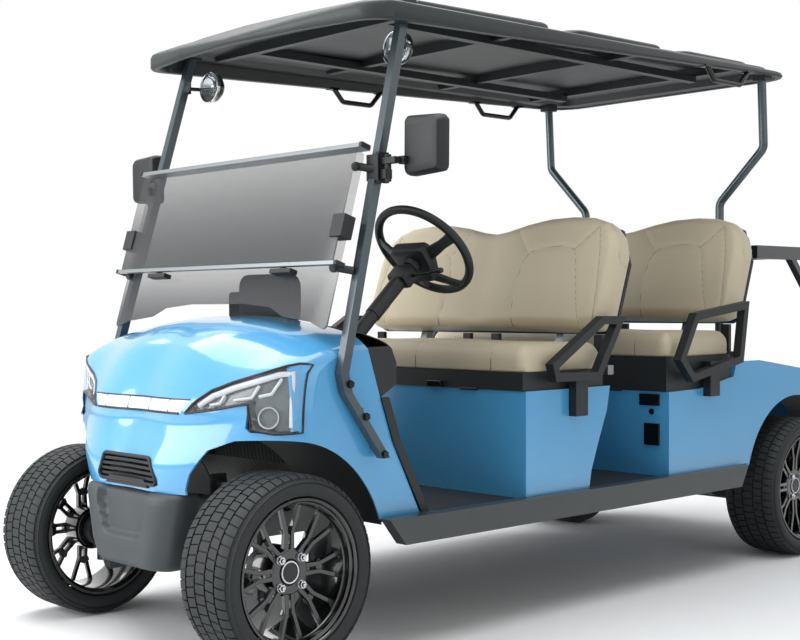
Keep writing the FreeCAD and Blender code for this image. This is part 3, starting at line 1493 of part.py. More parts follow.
def rack_housing():
    tube = rod(Vec(-rack_housing_half, rack_y, tie_z), Vec(rack_housing_half, rack_y, tie_z), rack_housing_radius)
    yoke_z = rail_z - rail_height / 2 - seat_gap
    yoke = box(-rail_x, rail_x, rack_y - rack_clamp_width / 2, rack_y + rack_clamp_width / 2,
               yoke_z - hanger_thickness, yoke_z)
    clamps = both_sides(box(rack_housing_half - rack_clamp_width, rack_housing_half, rack_y - rack_clamp_width / 2,
                            rack_y + rack_clamp_width / 2, tie_z, yoke_z))
    bore = rod(Vec(-rail_x, rack_y, tie_z), Vec(rail_x, rack_y, tie_z), rack_radius + seat_gap)
    return fused([tube, yoke] + clamps).cut(bore)


# Rear lamps
tail_x = 470.0
tail_width = 60.0
tail_height = 130.0
tail_z = 520.0
tail_depth = 26.0


def tail_lamps():
    y0 = rear_body_rear_y + seat_gap
    return both_sides(box(tail_x - tail_width / 2, tail_x + tail_width / 2, y0, y0 + tail_depth, tail_z,
                          tail_z + tail_height))


# Rear bumper with the tow plate
rear_bumper_half = 480.0
rear_bumper_height = 60.0
rear_bumper_depth = 28.0
rear_bumper_z = 440.0
tow_plate_width = 90.0
tow_plate_length = 70.0
tow_plate_thickness = 12.0
tow_hole_radius = 10.0


def bumper_arm(gap):
    """Arm from the frame's end to the bumper, widened by a gap for the slot in the body."""
    half = rear_bumper_height / 2 + gap
    return box(rail_x - rail_width / 2 - gap, rail_x + rail_width / 2 + gap, rail_rear_y + seat_gap,
               rear_body_rear_y + rear_bumper_depth, rear_bumper_z - half, rear_bumper_z + half)


def rear_bumper():
    beam = box(-rear_bumper_half, rear_bumper_half, rear_body_rear_y + seat_gap, rear_body_rear_y + rear_bumper_depth,
               rear_bumper_z - rear_bumper_height / 2, rear_bumper_z + rear_bumper_height / 2)
    arms = both_sides(bumper_arm(0))
    plate_z = rear_bumper_z - rear_bumper_height / 2
    plate = box(-tow_plate_width / 2, tow_plate_width / 2, rear_body_rear_y + seat_gap, rear_end_y,
                plate_z - tow_plate_thickness, plate_z)
    hole = Part.makeCylinder(tow_hole_radius, 3 * tow_plate_thickness,
                             Vec(0, rear_end_y - tow_plate_length / 3, plate_z - 2 * tow_plate_thickness))
    return fused([beam, plate] + arms).cut(hole)


# Pedals
pedal_width = 70.0
pedal_height = 110.0
pedal_thickness = 10.0
pedal_x_list = (300.0, 170.0)
pedal_z = 430.0


def pedals():
    solids = []
    for x in pedal_x_list:
        solids.append(box(x - pedal_width / 2, x + pedal_width / 2, toe_y + pedal_thickness * 3,
                          toe_y + pedal_thickness * 4, floor_top + seat_gap, pedal_z + pedal_height / 2))
    return solids


def windscreen_panes():
    return [windscreen_lower(), windscreen_upper()]


def front_suspension():
    return both_sides(lower_side()) + both_sides(upper_side())


def build():
    outer = cowl_loft(0)
    skin = surface_slab(outer)
    rows = (0, 1)
    lamps = both_sides(front_prism(lamp_outline(), seat_gap).common(skin))
    nodes = {
        "chassis_frame": [chassis_frame()],
        "floor_pan": [floor_pan()],
        "sills": both_sides(sill()),
        "front_cowl": [front_cowl(outer)],
        "headlamps": lamps,
        "lamp_bar": [front_prism(bar_outline(), seat_gap).common(skin)],
        "lower_grille": [lower_grille(outer)],
        "front_bumper": [front_bumper()],
        "wheel_liners": front_liners() + rear_liners(),
        "dashboard": [dashboard(), display_pod()],
        "leg_trims": both_sides(leg_trim()),
        "windscreen_panes": windscreen_panes(),
        "windscreen_rails": windscreen_rails(),
        "front_pillars": both_sides(front_pillar()),
        "rear_pillars": both_sides(rear_pillar()),
        "roof": [roof()],
        "roof_handles": roof_handles(),
        "side_mirrors": both_sides(side_mirror()),
        "pillar_lamps": both_sides(pillar_lamp()),
        "front_seat_box": [front_seat_box()],
        "rear_body": [rear_body()],
        "bag_well": [bag_well()],
        "bag_rack": [bag_rack()],
        "battery_pack": [battery_pack()],
        "rear_axle": [rear_axle()],
        "rear_suspension": rear_suspension(),
        "front_suspension": front_suspension(),
        "knuckle_left": [knuckle()],
        "knuckle_right": [mirrored(knuckle())],
        "steering_rack": [steering_rack()],
        "rack_housing": [rack_housing()],
        "steering_column": [steering_column()],
        "steering_wheel": [steering_wheel()],
        "tail_lamps": tail_lamps(),
        "rear_bumper": [rear_bumper()],
        "pedals": pedals(),
        "backrests": [backrest(row) for row in rows],
        "backrest_shells": [backrest_shell(row) for row in rows],
        "seat_frames": [seat_frame(row) for row in rows],
        "armrests": armrests(0) + armrests(1),
        "seat_belts": seat_belts(0) + seat_belts(1),
    }
    for row, name in zip(rows, ("front", "rear")):
        nodes[name + "_seat_pan"] = [seat_pan(row)]
        nodes[name + "_seat_cushion"] = [seat_cushion(row)]
    for name, track, move in (("front", front_track, at_front), ("rear", rear_track, at_rear)):
        nodes[name + "_left_rim"] = [move(rim(track))]
        nodes[name + "_right_rim"] = [mirrored(move(rim(track)))]
        nodes[name + "_left_tyre"] = [move(tyre(track))]
        nodes[name + "_right_tyre"] = [mirrored(move(tyre(track)))]
    return nodes


os.makedirs("parts", exist_ok=True)
for node, solids in build().items():
    shape = solids[0] if len(solids) == 1 else Part.makeCompound(solids)
    shape.exportStep("parts/" + node + ".step")
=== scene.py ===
import math

import bmesh
import bpy
from mathutils import Matrix, Vector, kdtree, noise
from mathutils.bvhtree import BVHTree


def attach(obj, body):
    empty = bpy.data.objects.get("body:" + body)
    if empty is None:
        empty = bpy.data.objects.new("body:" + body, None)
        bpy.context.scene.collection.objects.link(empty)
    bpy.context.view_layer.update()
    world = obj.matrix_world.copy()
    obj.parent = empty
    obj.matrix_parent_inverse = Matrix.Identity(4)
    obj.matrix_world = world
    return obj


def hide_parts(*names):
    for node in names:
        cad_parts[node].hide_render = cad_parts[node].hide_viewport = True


bl_info = {
    "name": "Golf cart looks",
    "version": (1, 0, 0),
    "blender": (4, 5, 0),
    "location": "3D View > Sidebar > Golf cart",
    "description": "Finishes, upholstery, wheels, lamps and small fittings of a four-seat golf cart",
    "category": "Object",
}

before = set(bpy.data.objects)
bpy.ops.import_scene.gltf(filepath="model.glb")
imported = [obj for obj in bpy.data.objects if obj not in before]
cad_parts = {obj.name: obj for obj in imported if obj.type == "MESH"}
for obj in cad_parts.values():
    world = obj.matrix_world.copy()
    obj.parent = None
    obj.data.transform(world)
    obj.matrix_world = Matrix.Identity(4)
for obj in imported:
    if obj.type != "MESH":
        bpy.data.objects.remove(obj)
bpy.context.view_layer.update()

MM = 0.001
FRONT_AXLE_Y = -1.345
REAR_AXLE_Y = 1.155
AXLE_Z = 0.260
SEAT_PITCH = 0.758
REAR_SEAT_RISE = 0.025
SIDES = ((1, "left"), (-1, "right"))


# Colour and node helpers

def hex_linear(code):
    """Linear RGBA from an sRGB hex code."""
    shares = [int(code[i:i + 2], 16) / 255 for i in (1, 3, 5)]
    return tuple(s / 12.92 if s <= 0.04045 else ((s + 0.055) / 1.055) ** 2.4 for s in shares) + (1.0,)


def add_node(tree, kind, inputs=None, **settings):
    """Add one shader node with its settings, and fill or link its inputs."""
    made = tree.nodes.new(kind)
    for name, value in settings.items():
        setattr(made, name, value)
    for name, value in (inputs or {}).items():
        if isinstance(value, bpy.types.NodeSocket):
            tree.links.new(value, made.inputs[name])
        else:
            made.inputs[name].default_value = value
    return made


def new_finish(name, colour, roughness, **sockets):
    """Material with a Principled shader. Returns the material, its tree and the shader."""
    finish = bpy.data.materials.new(name)
    finish.use_nodes = True
    tree = finish.node_tree
    shader = tree.nodes["Principled BSDF"]
    shader.inputs["Base Color"].default_value = hex_linear(colour)
    shader.inputs["Roughness"].default_value = roughness
    for socket, value in sockets.items():
        shader.inputs[socket.replace("_", " ")].default_value = value
    return finish, tree, shader


def place_node(tree, size_mm):
    """Object coordinates, scaled so that one unit of the pattern is a size in millimetres."""
    place = add_node(tree, "ShaderNodeTexCoord")
    scale = 1 / (size_mm * MM)
    return add_node(tree, "ShaderNodeMapping", {"Vector": place.outputs["Object"], "Scale": (scale,) * 3})


def tint(tree, shader, factor, low, high):
    """Blend two close colours by a pattern, for the small variation of a real surface."""
    colours = {"Factor": factor, 6: hex_linear(low), 7: hex_linear(high)}
    blend = add_node(tree, "ShaderNodeMix", colours, data_type="RGBA")
    tree.links.new(blend.outputs[2], shader.inputs["Base Color"])


def relief(tree, shader, height, depth_mm):
    """Bump of a depth in millimetres from a height pattern."""
    raised = add_node(tree, "ShaderNodeBump", {"Height": height, "Distance": depth_mm * MM, "Strength": 1.0})
    tree.links.new(raised.outputs["Normal"], shader.inputs["Normal"])


def noise_of(tree, size_mm, detail=3.0):
    """Soft blotches of a size."""
    place = place_node(tree, size_mm)
    made = add_node(tree, "ShaderNodeTexNoise", {"Vector": place.outputs[0], "Scale": 1.0, "Detail": detail})
    return made.outputs["Fac"]


def cells_of(tree, size_mm):
    """Cells like those of a leather grain, as the distance to their edges."""
    place = place_node(tree, size_mm)
    made = add_node(tree, "ShaderNodeTexVoronoi", {"Vector": place.outputs[0], "Scale": 1.0},
                    feature="DISTANCE_TO_EDGE")
    return made.outputs["Distance"]


# Finishes, each from what the real surface is: material and making, colour, roughness, further sockets,
# the blotches that vary the colour (size in mm, two colours), the relief (pattern, its sizes, depth in mm)

PLAIN_FINISHES = {
    # Moulded plastic under a coloured lacquer: a deep wet coat with faint orange peel
    "blue": ("ABS moulding, sky blue gloss lacquer", "#4fa6dc", 0.22,
             {"IOR": 1.5, "Coat Weight": 1.0, "Coat Roughness": 0.03, "Coat IOR": 1.5},
             (180.0, "#4ea4db", "#55abe0"), (noise_of, (7.0, 1.0), 0.03)),
    # Satin powder coat on tube: slightly pebbled, with a soft sheen
    "steel": ("Steel, black satin powder coat", "#22282b", 0.33,
              {"IOR": 1.5, "Coat Weight": 0.4, "Coat Roughness": 0.2}, None, (noise_of, (1.6, 1.0), 0.03)),
    # Dark aluminium tube: its grey colour is painted sheen, a painted reflection of the sky
    "pillar": ("Aluminium tube, painted grey sheen", "#4b565b", 0.3,
               {"Metallic": 0.55, "Coat Weight": 0.3, "Coat Roughness": 0.15}, None,
               (noise_of, (1.2, 1.0), 0.01)),
    # Leather grain cut in the mould: matt black, paler where rubbed
    "black": ("Polypropylene moulding, black grained", "#101416", 0.52, {"IOR": 1.49},
              (40.0, "#0e1214", "#171c1e"), (cells_of, (2.2,), 0.12)),
    # Fine spark-eroded grain: matt dark grey
    "bumper": ("Polypropylene moulding, dark grey grained", "#363c3f", 0.5, {"IOR": 1.49},
               (60.0, "#33393c", "#3e4447"), (cells_of, (1.8,), 0.08)),
    # Straight from a polished mould: black with clear reflections
    "gloss": ("ABS moulding, black gloss", "#0e1011", 0.16, {"IOR": 1.5}, None, (noise_of, (9.0, 1.0), 0.02)),
    # Vacuum-formed sheet: low gloss with a hair-cell grain
    "roof": ("ABS sheet, vacuum formed, hair-cell grain", "#1b2123", 0.42, {"IOR": 1.5},
             (90.0, "#191f21", "#22292b"), (cells_of, (3.0,), 0.10)),
    # Carbon-black rubber: matt, faintly blotched
    "tyre": ("Rubber, moulded tyre", "#14191b", 0.68, {"IOR": 1.52},
             (22.0, "#101517", "#1c2224"), (noise_of, (2.5, 2.0), 0.15)),
    # Gloss lacquer over a casting: black with sharp bright reflections
    "alloy": ("Cast aluminium, gloss black lacquer", "#0b0d0e", 0.2,
              {"IOR": 1.5, "Coat Weight": 1.0, "Coat Roughness": 0.04}, None, (noise_of, (8.0, 1.0), 0.02)),
    # Expanded vinyl over foam: warm beige, pebbled leather grain, soft low sheen
    "vinyl": ("Expanded vinyl, beige leather grain", "#c9bea4", 0.5,
              {"IOR": 1.48, "Sheen Weight": 0.12, "Sheen Roughness": 0.5},
              (120.0, "#c4b99f", "#cdc3aa"), (cells_of, (2.4,), 0.10)),
    # Twisted thread sunk in a seam, in the seam's own shadow
    "thread": ("Polyester thread, twisted", "#7d735f", 0.8, {}, None, (noise_of, (3.0, 1.0), 0.4)),
    # Clear lamp cover: a thin bright reflection over what lies behind
    "lens": ("Polycarbonate lens, clear hard coat", "#aab4ba", 0.05, {"IOR": 1.58, "Alpha": 0.15}, None,
             (noise_of, (14.0, 1.0), 0.02)),
    # Smoked lamp interior: dark grey with a fine optic texture
    "housing": ("Lamp housing, smoked moulding", "#5d6468", 0.25,
                {"IOR": 1.5, "Coat Weight": 1.0, "Coat Roughness": 0.04},
                (9.0, "#454c50", "#747b7f"), (cells_of, (6.0,), 0.15)),
    # Frosted light guide, unlit: milky white
    "guide": ("Acrylic light guide, frosted", "#dfe6ea", 0.35, {"IOR": 1.49, "Coat Weight": 0.6},
              (12.0, "#d5dde2", "#e8eef1"), None),
    # Plated moulding or metal: mirror bright with a little haze
    "chrome": ("Chrome plate, bright", "#c9cdd0", 0.08, {"Metallic": 1.0}, None,
               (noise_of, (10.0, 1.0), 0.01)),
    # Bright zinc plate: silver, a little softer than chrome
    "zinc": ("Steel, bright zinc plate", "#a9adaf", 0.28, {"Metallic": 1.0}, None,
             (noise_of, (3.0, 1.0), 0.04)),
    # Painted castings: dark grey, lightly rough casting skin
    "iron": ("Cast iron, grey painted", "#2c3032", 0.55, {"Metallic": 0.2},
             (15.0, "#25292b", "#34393b"), (noise_of, (3.0, 2.0), 0.2)),
    # Red lens with prism cells behind: deep red that glitters
    "tail": ("Acrylic lens, red prismatic", "#a3121a", 0.12, {"IOR": 1.49, "Coat Weight": 1.0}, None,
             (cells_of, (5.0,), 0.5)),
    # Silvered behind: a clean mirror
    "mirror": ("Mirror glass, silvered", "#dfe4e6", 0.02, {"Metallic": 1.0}, None, None),
    # Satin paint on pressed steel: even dark grey
    "sill": ("Pressed steel, satin grey paint", "#2e3436", 0.38, {"Coat Weight": 0.3, "Coat Roughness": 0.2},
             (70.0, "#2b3133", "#33393b"), (noise_of, (2.0, 1.0), 0.03)),
}


def plain_finish(name, colour, roughness, sockets, shades, grain):
    """Finish from one row of the table."""
    finish, tree, shader = new_finish(name, colour, roughness, **sockets)
    if shades:
        size_mm, low, high = shades
        tint(tree, shader, noise_of(tree, size_mm), low, high)
    if grain:
        pattern, sizes, depth_mm = grain
        relief(tree, shader, pattern(tree, *sizes), depth_mm)
    if "Alpha" in sockets:
        finish.surface_render_method = "BLENDED"
    return finish


def tinted_acrylic(name, low_z, high_z, low_alpha, high_alpha):
    """Cast acrylic sheet, smoke tint that deepens downwards; polished faces."""
    finish, tree, shader = new_finish(name, "#4b4c4e", 0.06, IOR=1.49)
    place = add_node(tree, "ShaderNodeTexCoord")
    parts = add_node(tree, "ShaderNodeSeparateXYZ", {"Vector": place.outputs["Object"]})
    span = {"From Min": low_z, "From Max": high_z, "To Min": low_alpha, "To Max": high_alpha}
    share = add_node(tree, "ShaderNodeMapRange", {"Value": parts.outputs["Z"], **span})
    tree.links.new(share.outputs["Result"], shader.inputs["Alpha"])
    finish.surface_render_method = "BLENDED"
    return finish


def lower_pane_acrylic():
    """Lower pane: clear over its upper part, smoked towards its foot."""
    sizes = bpy.context.scene.golf_cart
    return tinted_acrylic("Cast acrylic, smoke tint, lower pane", 0.90, 1.066, sizes.pane_low, 0.26)


def upper_pane_acrylic():
    """Folded upper pane, smoked towards its own lower rail."""
    sizes = bpy.context.scene.golf_cart
    return tinted_acrylic("Cast acrylic, smoke tint, upper pane", 1.075, 1.385, sizes.pane_low,
                          sizes.pane_high)


def extruded_aluminium():
    """Mill-finish aluminium extrusion: dull silver with fine lines along its length."""
    finish, tree, shader = new_finish("Aluminium extrusion, mill finish", "#8d9294", 0.36, Metallic=0.9)
    place = add_node(tree, "ShaderNodeTexCoord")
    lines = add_node(tree, "ShaderNodeMapping", {"Vector": place.outputs["Object"],
                                                 "Scale": (4.0, 900.0, 900.0)})
    grain = add_node(tree, "ShaderNodeTexNoise", {"Vector": lines.outputs[0], "Scale": 1.0, "Detail": 2.0})
    relief(tree, shader, grain.outputs["Fac"], 0.05)
    return finish


def ribbed_rubber():
    """Floor mat: black rubber with ribs 9 mm wide along the cart."""
    finish, tree, shader = new_finish("Rubber sheet, ribbed", "#14191b", 0.6)
    place = place_node(tree, 56.0)
    wave = add_node(tree, "ShaderNodeTexWave", {"Vector": place.outputs[0], "Scale": 1.0},
                    bands_direction="X")
    relief(tree, shader, wave.outputs["Fac"], 1.2)
    return finish


OWN_FINISHES = {"pane_lower": lower_pane_acrylic, "pane_upper": upper_pane_acrylic,
                "extrusion": extruded_aluminium, "mat": ribbed_rubber}
FINISHES = {}


def finish_of(name):
    """The finish of that short name, made once."""
    if name not in FINISHES:
        FINISHES[name] = OWN_FINISHES[name]() if name in OWN_FINISHES else plain_finish(*PLAIN_FINISHES[name])
    return FINISHES[name]


# Mesh helpers. Every length is in metres and in the cart's own frame

class Form:
    """Corners and faces that are gathered and then made into one piece."""

    def __init__(self):
        self.corners = []
        self.faces = []
        self.marks = []

    def add(self, corners, faces, mark=0):
        """Corners, and faces that count from the first of them."""
        first = len(self.corners)
        self.corners += [Vector(c) for c in corners]
        self.faces += [tuple(first + i for i in face) for face in faces]
        self.marks += [mark] * len(faces)
        return self

    def add_grid(self, rows, closed_rows=False, closed_columns=False, mark=0, flip=False):
        """Rows of points joined into quads."""
        wide = len(rows[0])
        corners = [p for row in rows for p in row]
        faces = []
        row_count = len(rows) if closed_rows else len(rows) - 1
        column_count = wide if closed_columns else wide - 1
        for i in range(row_count):
            for j in range(column_count):
                a, b = i * wide, (i + 1) % len(rows) * wide
                k = (j + 1) % wide
                quad = (a + j, a + k, b + k, b + j)
                faces.append(quad[::-1] if flip else quad)
        return self.add(corners, faces, mark)

    def add_box(self, low, high):
        """Box between two corners."""
        corners = [Vector((x, y, z)) for x in (low[0], high[0]) for y in (low[1], high[1])
                   for z in (low[2], high[2])]
        faces = ((0, 1, 3, 2), (4, 6, 7, 5), (0, 4, 5, 1), (2, 3, 7, 6), (0, 2, 6, 4), (1, 5, 7, 3))
        return self.add(corners, faces)

    def add_rings(self, rings, caps, mark=0):
        """Closed rings joined into a skin, with a flat face over each ring that caps name with its mark."""
        self.add_grid(rings, closed_columns=True, mark=mark)
        for number, cap_mark in caps:
            self.add(rings[number], [tuple(range(len(rings[number])))], cap_mark)
        return self

    def add_spun(self, profile, steps, turn=None, mark=0, closed=False):
        """Profile of (along, radius) spun about X."""
        rows = []
        for i in range(steps):
            angle = 2 * math.pi * i / steps
            row = [Vector((x, r * math.sin(angle), r * math.cos(angle))) for x, r in profile]
            rows.append([turn @ p for p in row] if turn is not None else row)
        return self.add_grid(rows, True, closed, mark)

    def add_prism(self, outline, place_low, place_high):
        """Outline drawn out between two placements, each a function from the outline's pair to a point."""
        low = [place_low(a, b) for a, b in outline]
        high = [place_high(a, b) for a, b in outline]
        count = len(outline)
        faces = [tuple(range(count))[::-1], tuple(range(count, 2 * count))]
        faces += [(i, (i + 1) % count, count + (i + 1) % count, count + i) for i in range(count)]
        return self.add(low + high, faces)

    def add_tube(self, points, radius, sides=10, closed=False, mark=0, flat=1.0):
        """Round tube along points. The section may be flattened across its first side."""
        points = [Vector(p) for p in points]
        rows = []
        count = len(points)
        side = None
        for i, point in enumerate(points):
            before = points[i - 1] if i or closed else points[i]
            after = points[(i + 1) % count] if i + 1 < count or closed else points[i]
            run = (after - before).normalized()
            if side is None:
                side = run.cross(Vector((0, 0, 1)) if abs(run.z) < 0.9 else Vector((1, 0, 0))).normalized()
            side = (side - run * side.dot(run)).normalized()
            up = run.cross(side)
            rows.append([point + side * (radius * flat * math.cos(2 * math.pi * k / sides))
                         + up * (radius * math.sin(2 * math.pi * k / sides)) for k in range(sides)])
        self.add_grid(rows, closed, True, mark)
        if not closed:
            first = len(self.corners) - len(rows) * sides
            last = len(self.corners) - sides
            self.faces += [tuple(range(first, first + sides)), tuple(range(last, last + sides))[::-1]]
            self.marks += [mark, mark]
        return self

    def mirrored(self):
        """The same form on the other side of the cart."""
        other = Form()
        other.corners = [Vector((-c.x, c.y, c.z)) for c in self.corners]
        other.faces = [face[::-1] for face in self.faces]
        other.marks = list(self.marks)
        return other

    def on_side(self, side):
        """This form for the left side, or its mirror image for the right."""
        return self if side > 0 else self.mirrored()

    def moved(self, matrix):
        """A copy in another place."""
        other = Form()
        other.corners = [matrix @ c for c in self.corners]
        other.faces = list(self.faces)
        other.marks = list(self.marks)
        return other

    def joined(self, other):
        """This form with another one added."""
        first = len(self.corners)
        self.corners += other.corners
        self.faces += [tuple(first + i for i in face) for face in other.faces]
        self.marks += other.marks
        return self

    def piece(self, name, finishes, body="cart", bevel_mm=0.0, segments=2, smooth=30.0, slot=None):
        """Make the piece with its finishes, let it ride on a body, and round its edges."""
        mesh = bpy.data.meshes.new(name)
        mesh.from_pydata([tuple(c) for c in self.corners], [], self.faces)
        shaper = bmesh.new()
        shaper.from_mesh(mesh)
        for face, mark in zip(shaper.faces, self.marks):
            face.material_index = mark
        bmesh.ops.remove_doubles(shaper, verts=shaper.verts, dist=1e-5)
        bmesh.ops.recalc_face_normals(shaper, faces=shaper.faces)
        shaper.to_mesh(mesh)
        shaper.free()
        made = bpy.data.objects.new(name, mesh)
        bpy.context.scene.collection.objects.link(made)
        for finish in ([finishes] if isinstance(finishes, str) else finishes):
            mesh.materials.append(finish_of(finish))
        if bevel_mm:
            add_bevel(made, bevel_mm, segments)
        shade(mesh, smooth)
        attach(made, body)
        return made


def shade(mesh, angle):
    """Smooth shading, with edges sharper than an angle kept crisp."""
    mesh.shade_smooth()
    if angle < 180:
        mesh.set_sharp_from_angle(angle=math.radians(angle))


def add_bevel(made, width_mm, segments=2):
    """Small round on the hard edges, which catches the light as a moulded or bent edge does."""
    bevel = made.modifiers.new("Edge round", "BEVEL")
    bevel.width = width_mm * MM
    bevel.segments = segments
    bevel.limit_method = "ANGLE"
    bevel.angle_limit = math.radians(35)
    bevel.harden_normals = True
    bevel.miter_outer = "MITER_ARC"
    bevel.use_clamp_overlap = True


def smooth_line(points, steps):
    """Points along a rounded line through the given points."""
    points = [Vector(p) for p in points]
    ends = [points[0] * 2 - points[1]] + points + [points[-1] * 2 - points[-2]]
    line = []
    for i in range(1, len(ends) - 2):
        p0, p1, p2, p3 = ends[i - 1:i + 3]
        for k in range(steps):
            t = k / steps
            line.append(0.5 * (2 * p1 + (p2 - p0) * t + (2 * p0 - 5 * p1 + 4 * p2 - p3) * t * t
                               + (3 * p1 - p0 - 3 * p2 + p3) * t ** 3))
    line.append(points[-1])
    return line


def bent_line(points, radius, steps=6):
    """Straight runs with a round bend of a radius at each corner, and as many points where there is none."""
    points = [Vector(p) for p in points]
    line = [points[0]]
    for before, corner, after in zip(points, points[1:], points[2:]):
        back, ahead = (before - corner).normalized(), (after - corner).normalized()
        half = back.angle(ahead) / 2
        if half > math.pi / 2 - 0.02:
            short = min((before - corner).length, (after - corner).length) / 4
            line += [corner + (ahead - back) * (short * (k / steps - 0.5)) for k in range(steps + 1)]
            continue
        reach = min(radius / math.tan(half), (before - corner).length / 2, (after - corner).length / 2)
        real = reach * math.tan(half)
        centre = corner + (back + ahead).normalized() * (real / math.sin(half))
        start, end = corner + back * reach - centre, corner + ahead * reach - centre
        sweep = start.angle(end)
        for k in range(steps + 1):
            t = k / steps
            arm = start * math.sin((1 - t) * sweep) + end * math.sin(t * sweep)
            line.append(centre + arm / math.sin(sweep))
    line.append(points[-1])
    return line


def rounded_outline(points, radius, steps=4):
    """Closed outline of pairs with a round at each corner."""
    count = len(points)
    closed = [Vector((a, b, 0)) for a, b in points]
    line = []
    for i in range(count):
        before, corner, after = closed[i - 1], closed[i], closed[(i + 1) % count]
        line += bent_line([(before + corner) / 2, corner, (corner + after) / 2], radius, steps)[1:-1]
    return [(p.x, p.y) for p in line]


def frame_at(origin, x_axis, z_axis):
    """Placement with a given origin and two of its directions."""
    x_axis = Vector(x_axis).normalized()
    z_axis = Vector(z_axis)
    z_axis = (z_axis - x_axis * z_axis.dot(x_axis)).normalized()
    y_axis = z_axis.cross(x_axis)
    rows = [[x_axis[i], y_axis[i], z_axis[i], Vector(origin)[i]] for i in range(3)]
    return Matrix(rows + [[0, 0, 0, 1]])


def polygon(radius, sides):
    """Corners of an even polygon, as pairs."""
    return [(radius * math.cos(2 * math.pi * k / sides), radius * math.sin(2 * math.pi * k / sides))
            for k in range(sides)]


def hex_bolt(form, place, across, height):
    """Bolt head with a washer, seated at the origin of a placement whose Z points outward."""
    washer, head = polygon(across * 0.62, 16), polygon(across / 2 / math.cos(math.pi / 6), 6)
    for outline, low, high in ((washer, 0.0, height * 0.25), (head, height * 0.25, height)):
        form.add_prism(outline, lambda a, b, z=low: place @ Vector((a, b, z)),
                       lambda a, b, z=high: place @ Vector((a, b, z)))


def in_metres(pairs_mm):
    """Pairs in millimetres as pairs in metres."""
    return [(a * MM, b * MM) for a, b in pairs_mm]


def scaled_ring(outline, centre, share, y):
    """Outline in X and Z at a depth, scaled about a centre."""
    return [Vector((centre[0] + (a - centre[0]) * share, y, centre[1] + (b - centre[1]) * share))
            for a, b in outline]


def surface_of(node):
    """A CAD node as a tree for ray casts."""
    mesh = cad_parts[node].data
    return BVHTree.FromPolygons([v.co for v in mesh.vertices], [p.vertices for p in mesh.polygons])


# Finish, edge round in mm, and the CAD pieces that have them
NODE_FINISHES = (
    ("blue", 0, "front_cowl"), ("blue", 14, "front_seat_box"), ("blue", 10, "rear_body"),
    ("steel", 0, "chassis_frame front_suspension"), ("steel", 1, "rear_suspension"), ("steel", 1.5, "pedals"),
    ("steel", 3, "rear_bumper"), ("steel", 4, "bag_rack"), ("mat", 0, "floor_pan"), ("sill", 2, "sills"),
    ("housing", 0, "headlamps"), ("guide", 0, "lamp_bar"), ("lens", 0, "windscreen_panes"),
    ("tail", 3, "tail_lamps"),
    ("bumper", 4, "front_bumper"), ("black", 0, "lower_grille wheel_liners"),
    ("black", 2, "bag_well steering_column steering_wheel seat_belts"),
    ("black", 3, "dashboard leg_trims backrest_shells"),
    ("black", 4, "battery_pack front_seat_pan rear_seat_pan"),
    ("black", 8, "armrests"), ("extrusion", 1.5, "windscreen_rails"), ("extrusion", 2, "seat_frames"),
    ("pillar", 3, "front_pillars"), ("pillar", 0, "rear_pillars"), ("roof", 5, "roof"),
    ("gloss", 0, "roof_handles"), ("gloss", 4, "side_mirrors"), ("gloss", 3, "pillar_lamps"),
    ("iron", 2, "rear_axle"), ("iron", 1, "knuckle_left knuckle_right rack_housing"),
    ("zinc", 1, "steering_rack"),
    ("vinyl", 8, "backrests front_seat_cushion rear_seat_cushion"),
    ("alloy", 1, "front_left_rim front_right_rim rear_left_rim rear_right_rim"),
    ("tyre", 0, "front_left_tyre front_right_tyre rear_left_tyre rear_right_tyre"),
)


class GolfCartSizes(bpy.types.PropertyGroup):
    """Values of the looks that can be changed in the panel"""
    pane_low: bpy.props.FloatProperty(
        name="Pane tint at foot", description="Opacity of a pane at its lower edge", default=0.80,
        min=0, max=1, subtype="FACTOR")
    pane_high: bpy.props.FloatProperty(
        name="Pane tint at top", description="Opacity of a pane at its upper edge", default=0.12,
        min=0, max=1, subtype="FACTOR")
    top_light: bpy.props.FloatProperty(
        name="Top lamp", description="Power of the lamp over the cart", default=420.0, unit="POWER")
    front_light: bpy.props.FloatProperty(
        name="Front lamp", description="Power of the lamp before the cart", default=260.0, unit="POWER")
    side_light: bpy.props.FloatProperty(
        name="Side lamp", description="Power of the lamp beside the cart", default=24.0, unit="POWER")
    world_light: bpy.props.FloatProperty(
        name="Surroundings", description="Strength of the even light all round", default=0.37, min=0)
    tread_pitches: bpy.props.IntProperty(
        name="Tread pitches", description="Number of tread blocks round a tyre", default=60, min=12)


# Upholstery: benches and backrests as sewn vinyl covers over foam. The covers are modelled as
# crowned closed forms, and their seams, creases and swell are moved into the surface

# Shift along and upward of each row, and its name
SEAT_ROWS = ((0.0, 0.0, "front"), (SEAT_PITCH, REAR_SEAT_RISE, "rear"))
BACK_LEAN = math.radians(19.7)
BACK_FOOT = Vector((0.0, -0.052, 0.884))
BACK_HALF = 0.548
BACK_THICK = 0.081
BACK_EDGE = 0.036
# Share of the half width, and height of the cover's upper and lower edge there
BACK_TOP = ((0.0, 0.354), (0.10, 0.362), (0.26, 0.384), (0.42, 0.399), (0.60, 0.402), (0.76, 0.394),
            (0.88, 0.372), (0.955, 0.330), (0.99, 0.280), (1.0, 0.235))
BACK_LOW = ((0.0, 0.004), (0.8, 0.0), (0.93, 0.006), (0.98, 0.020), (1.0, 0.045))
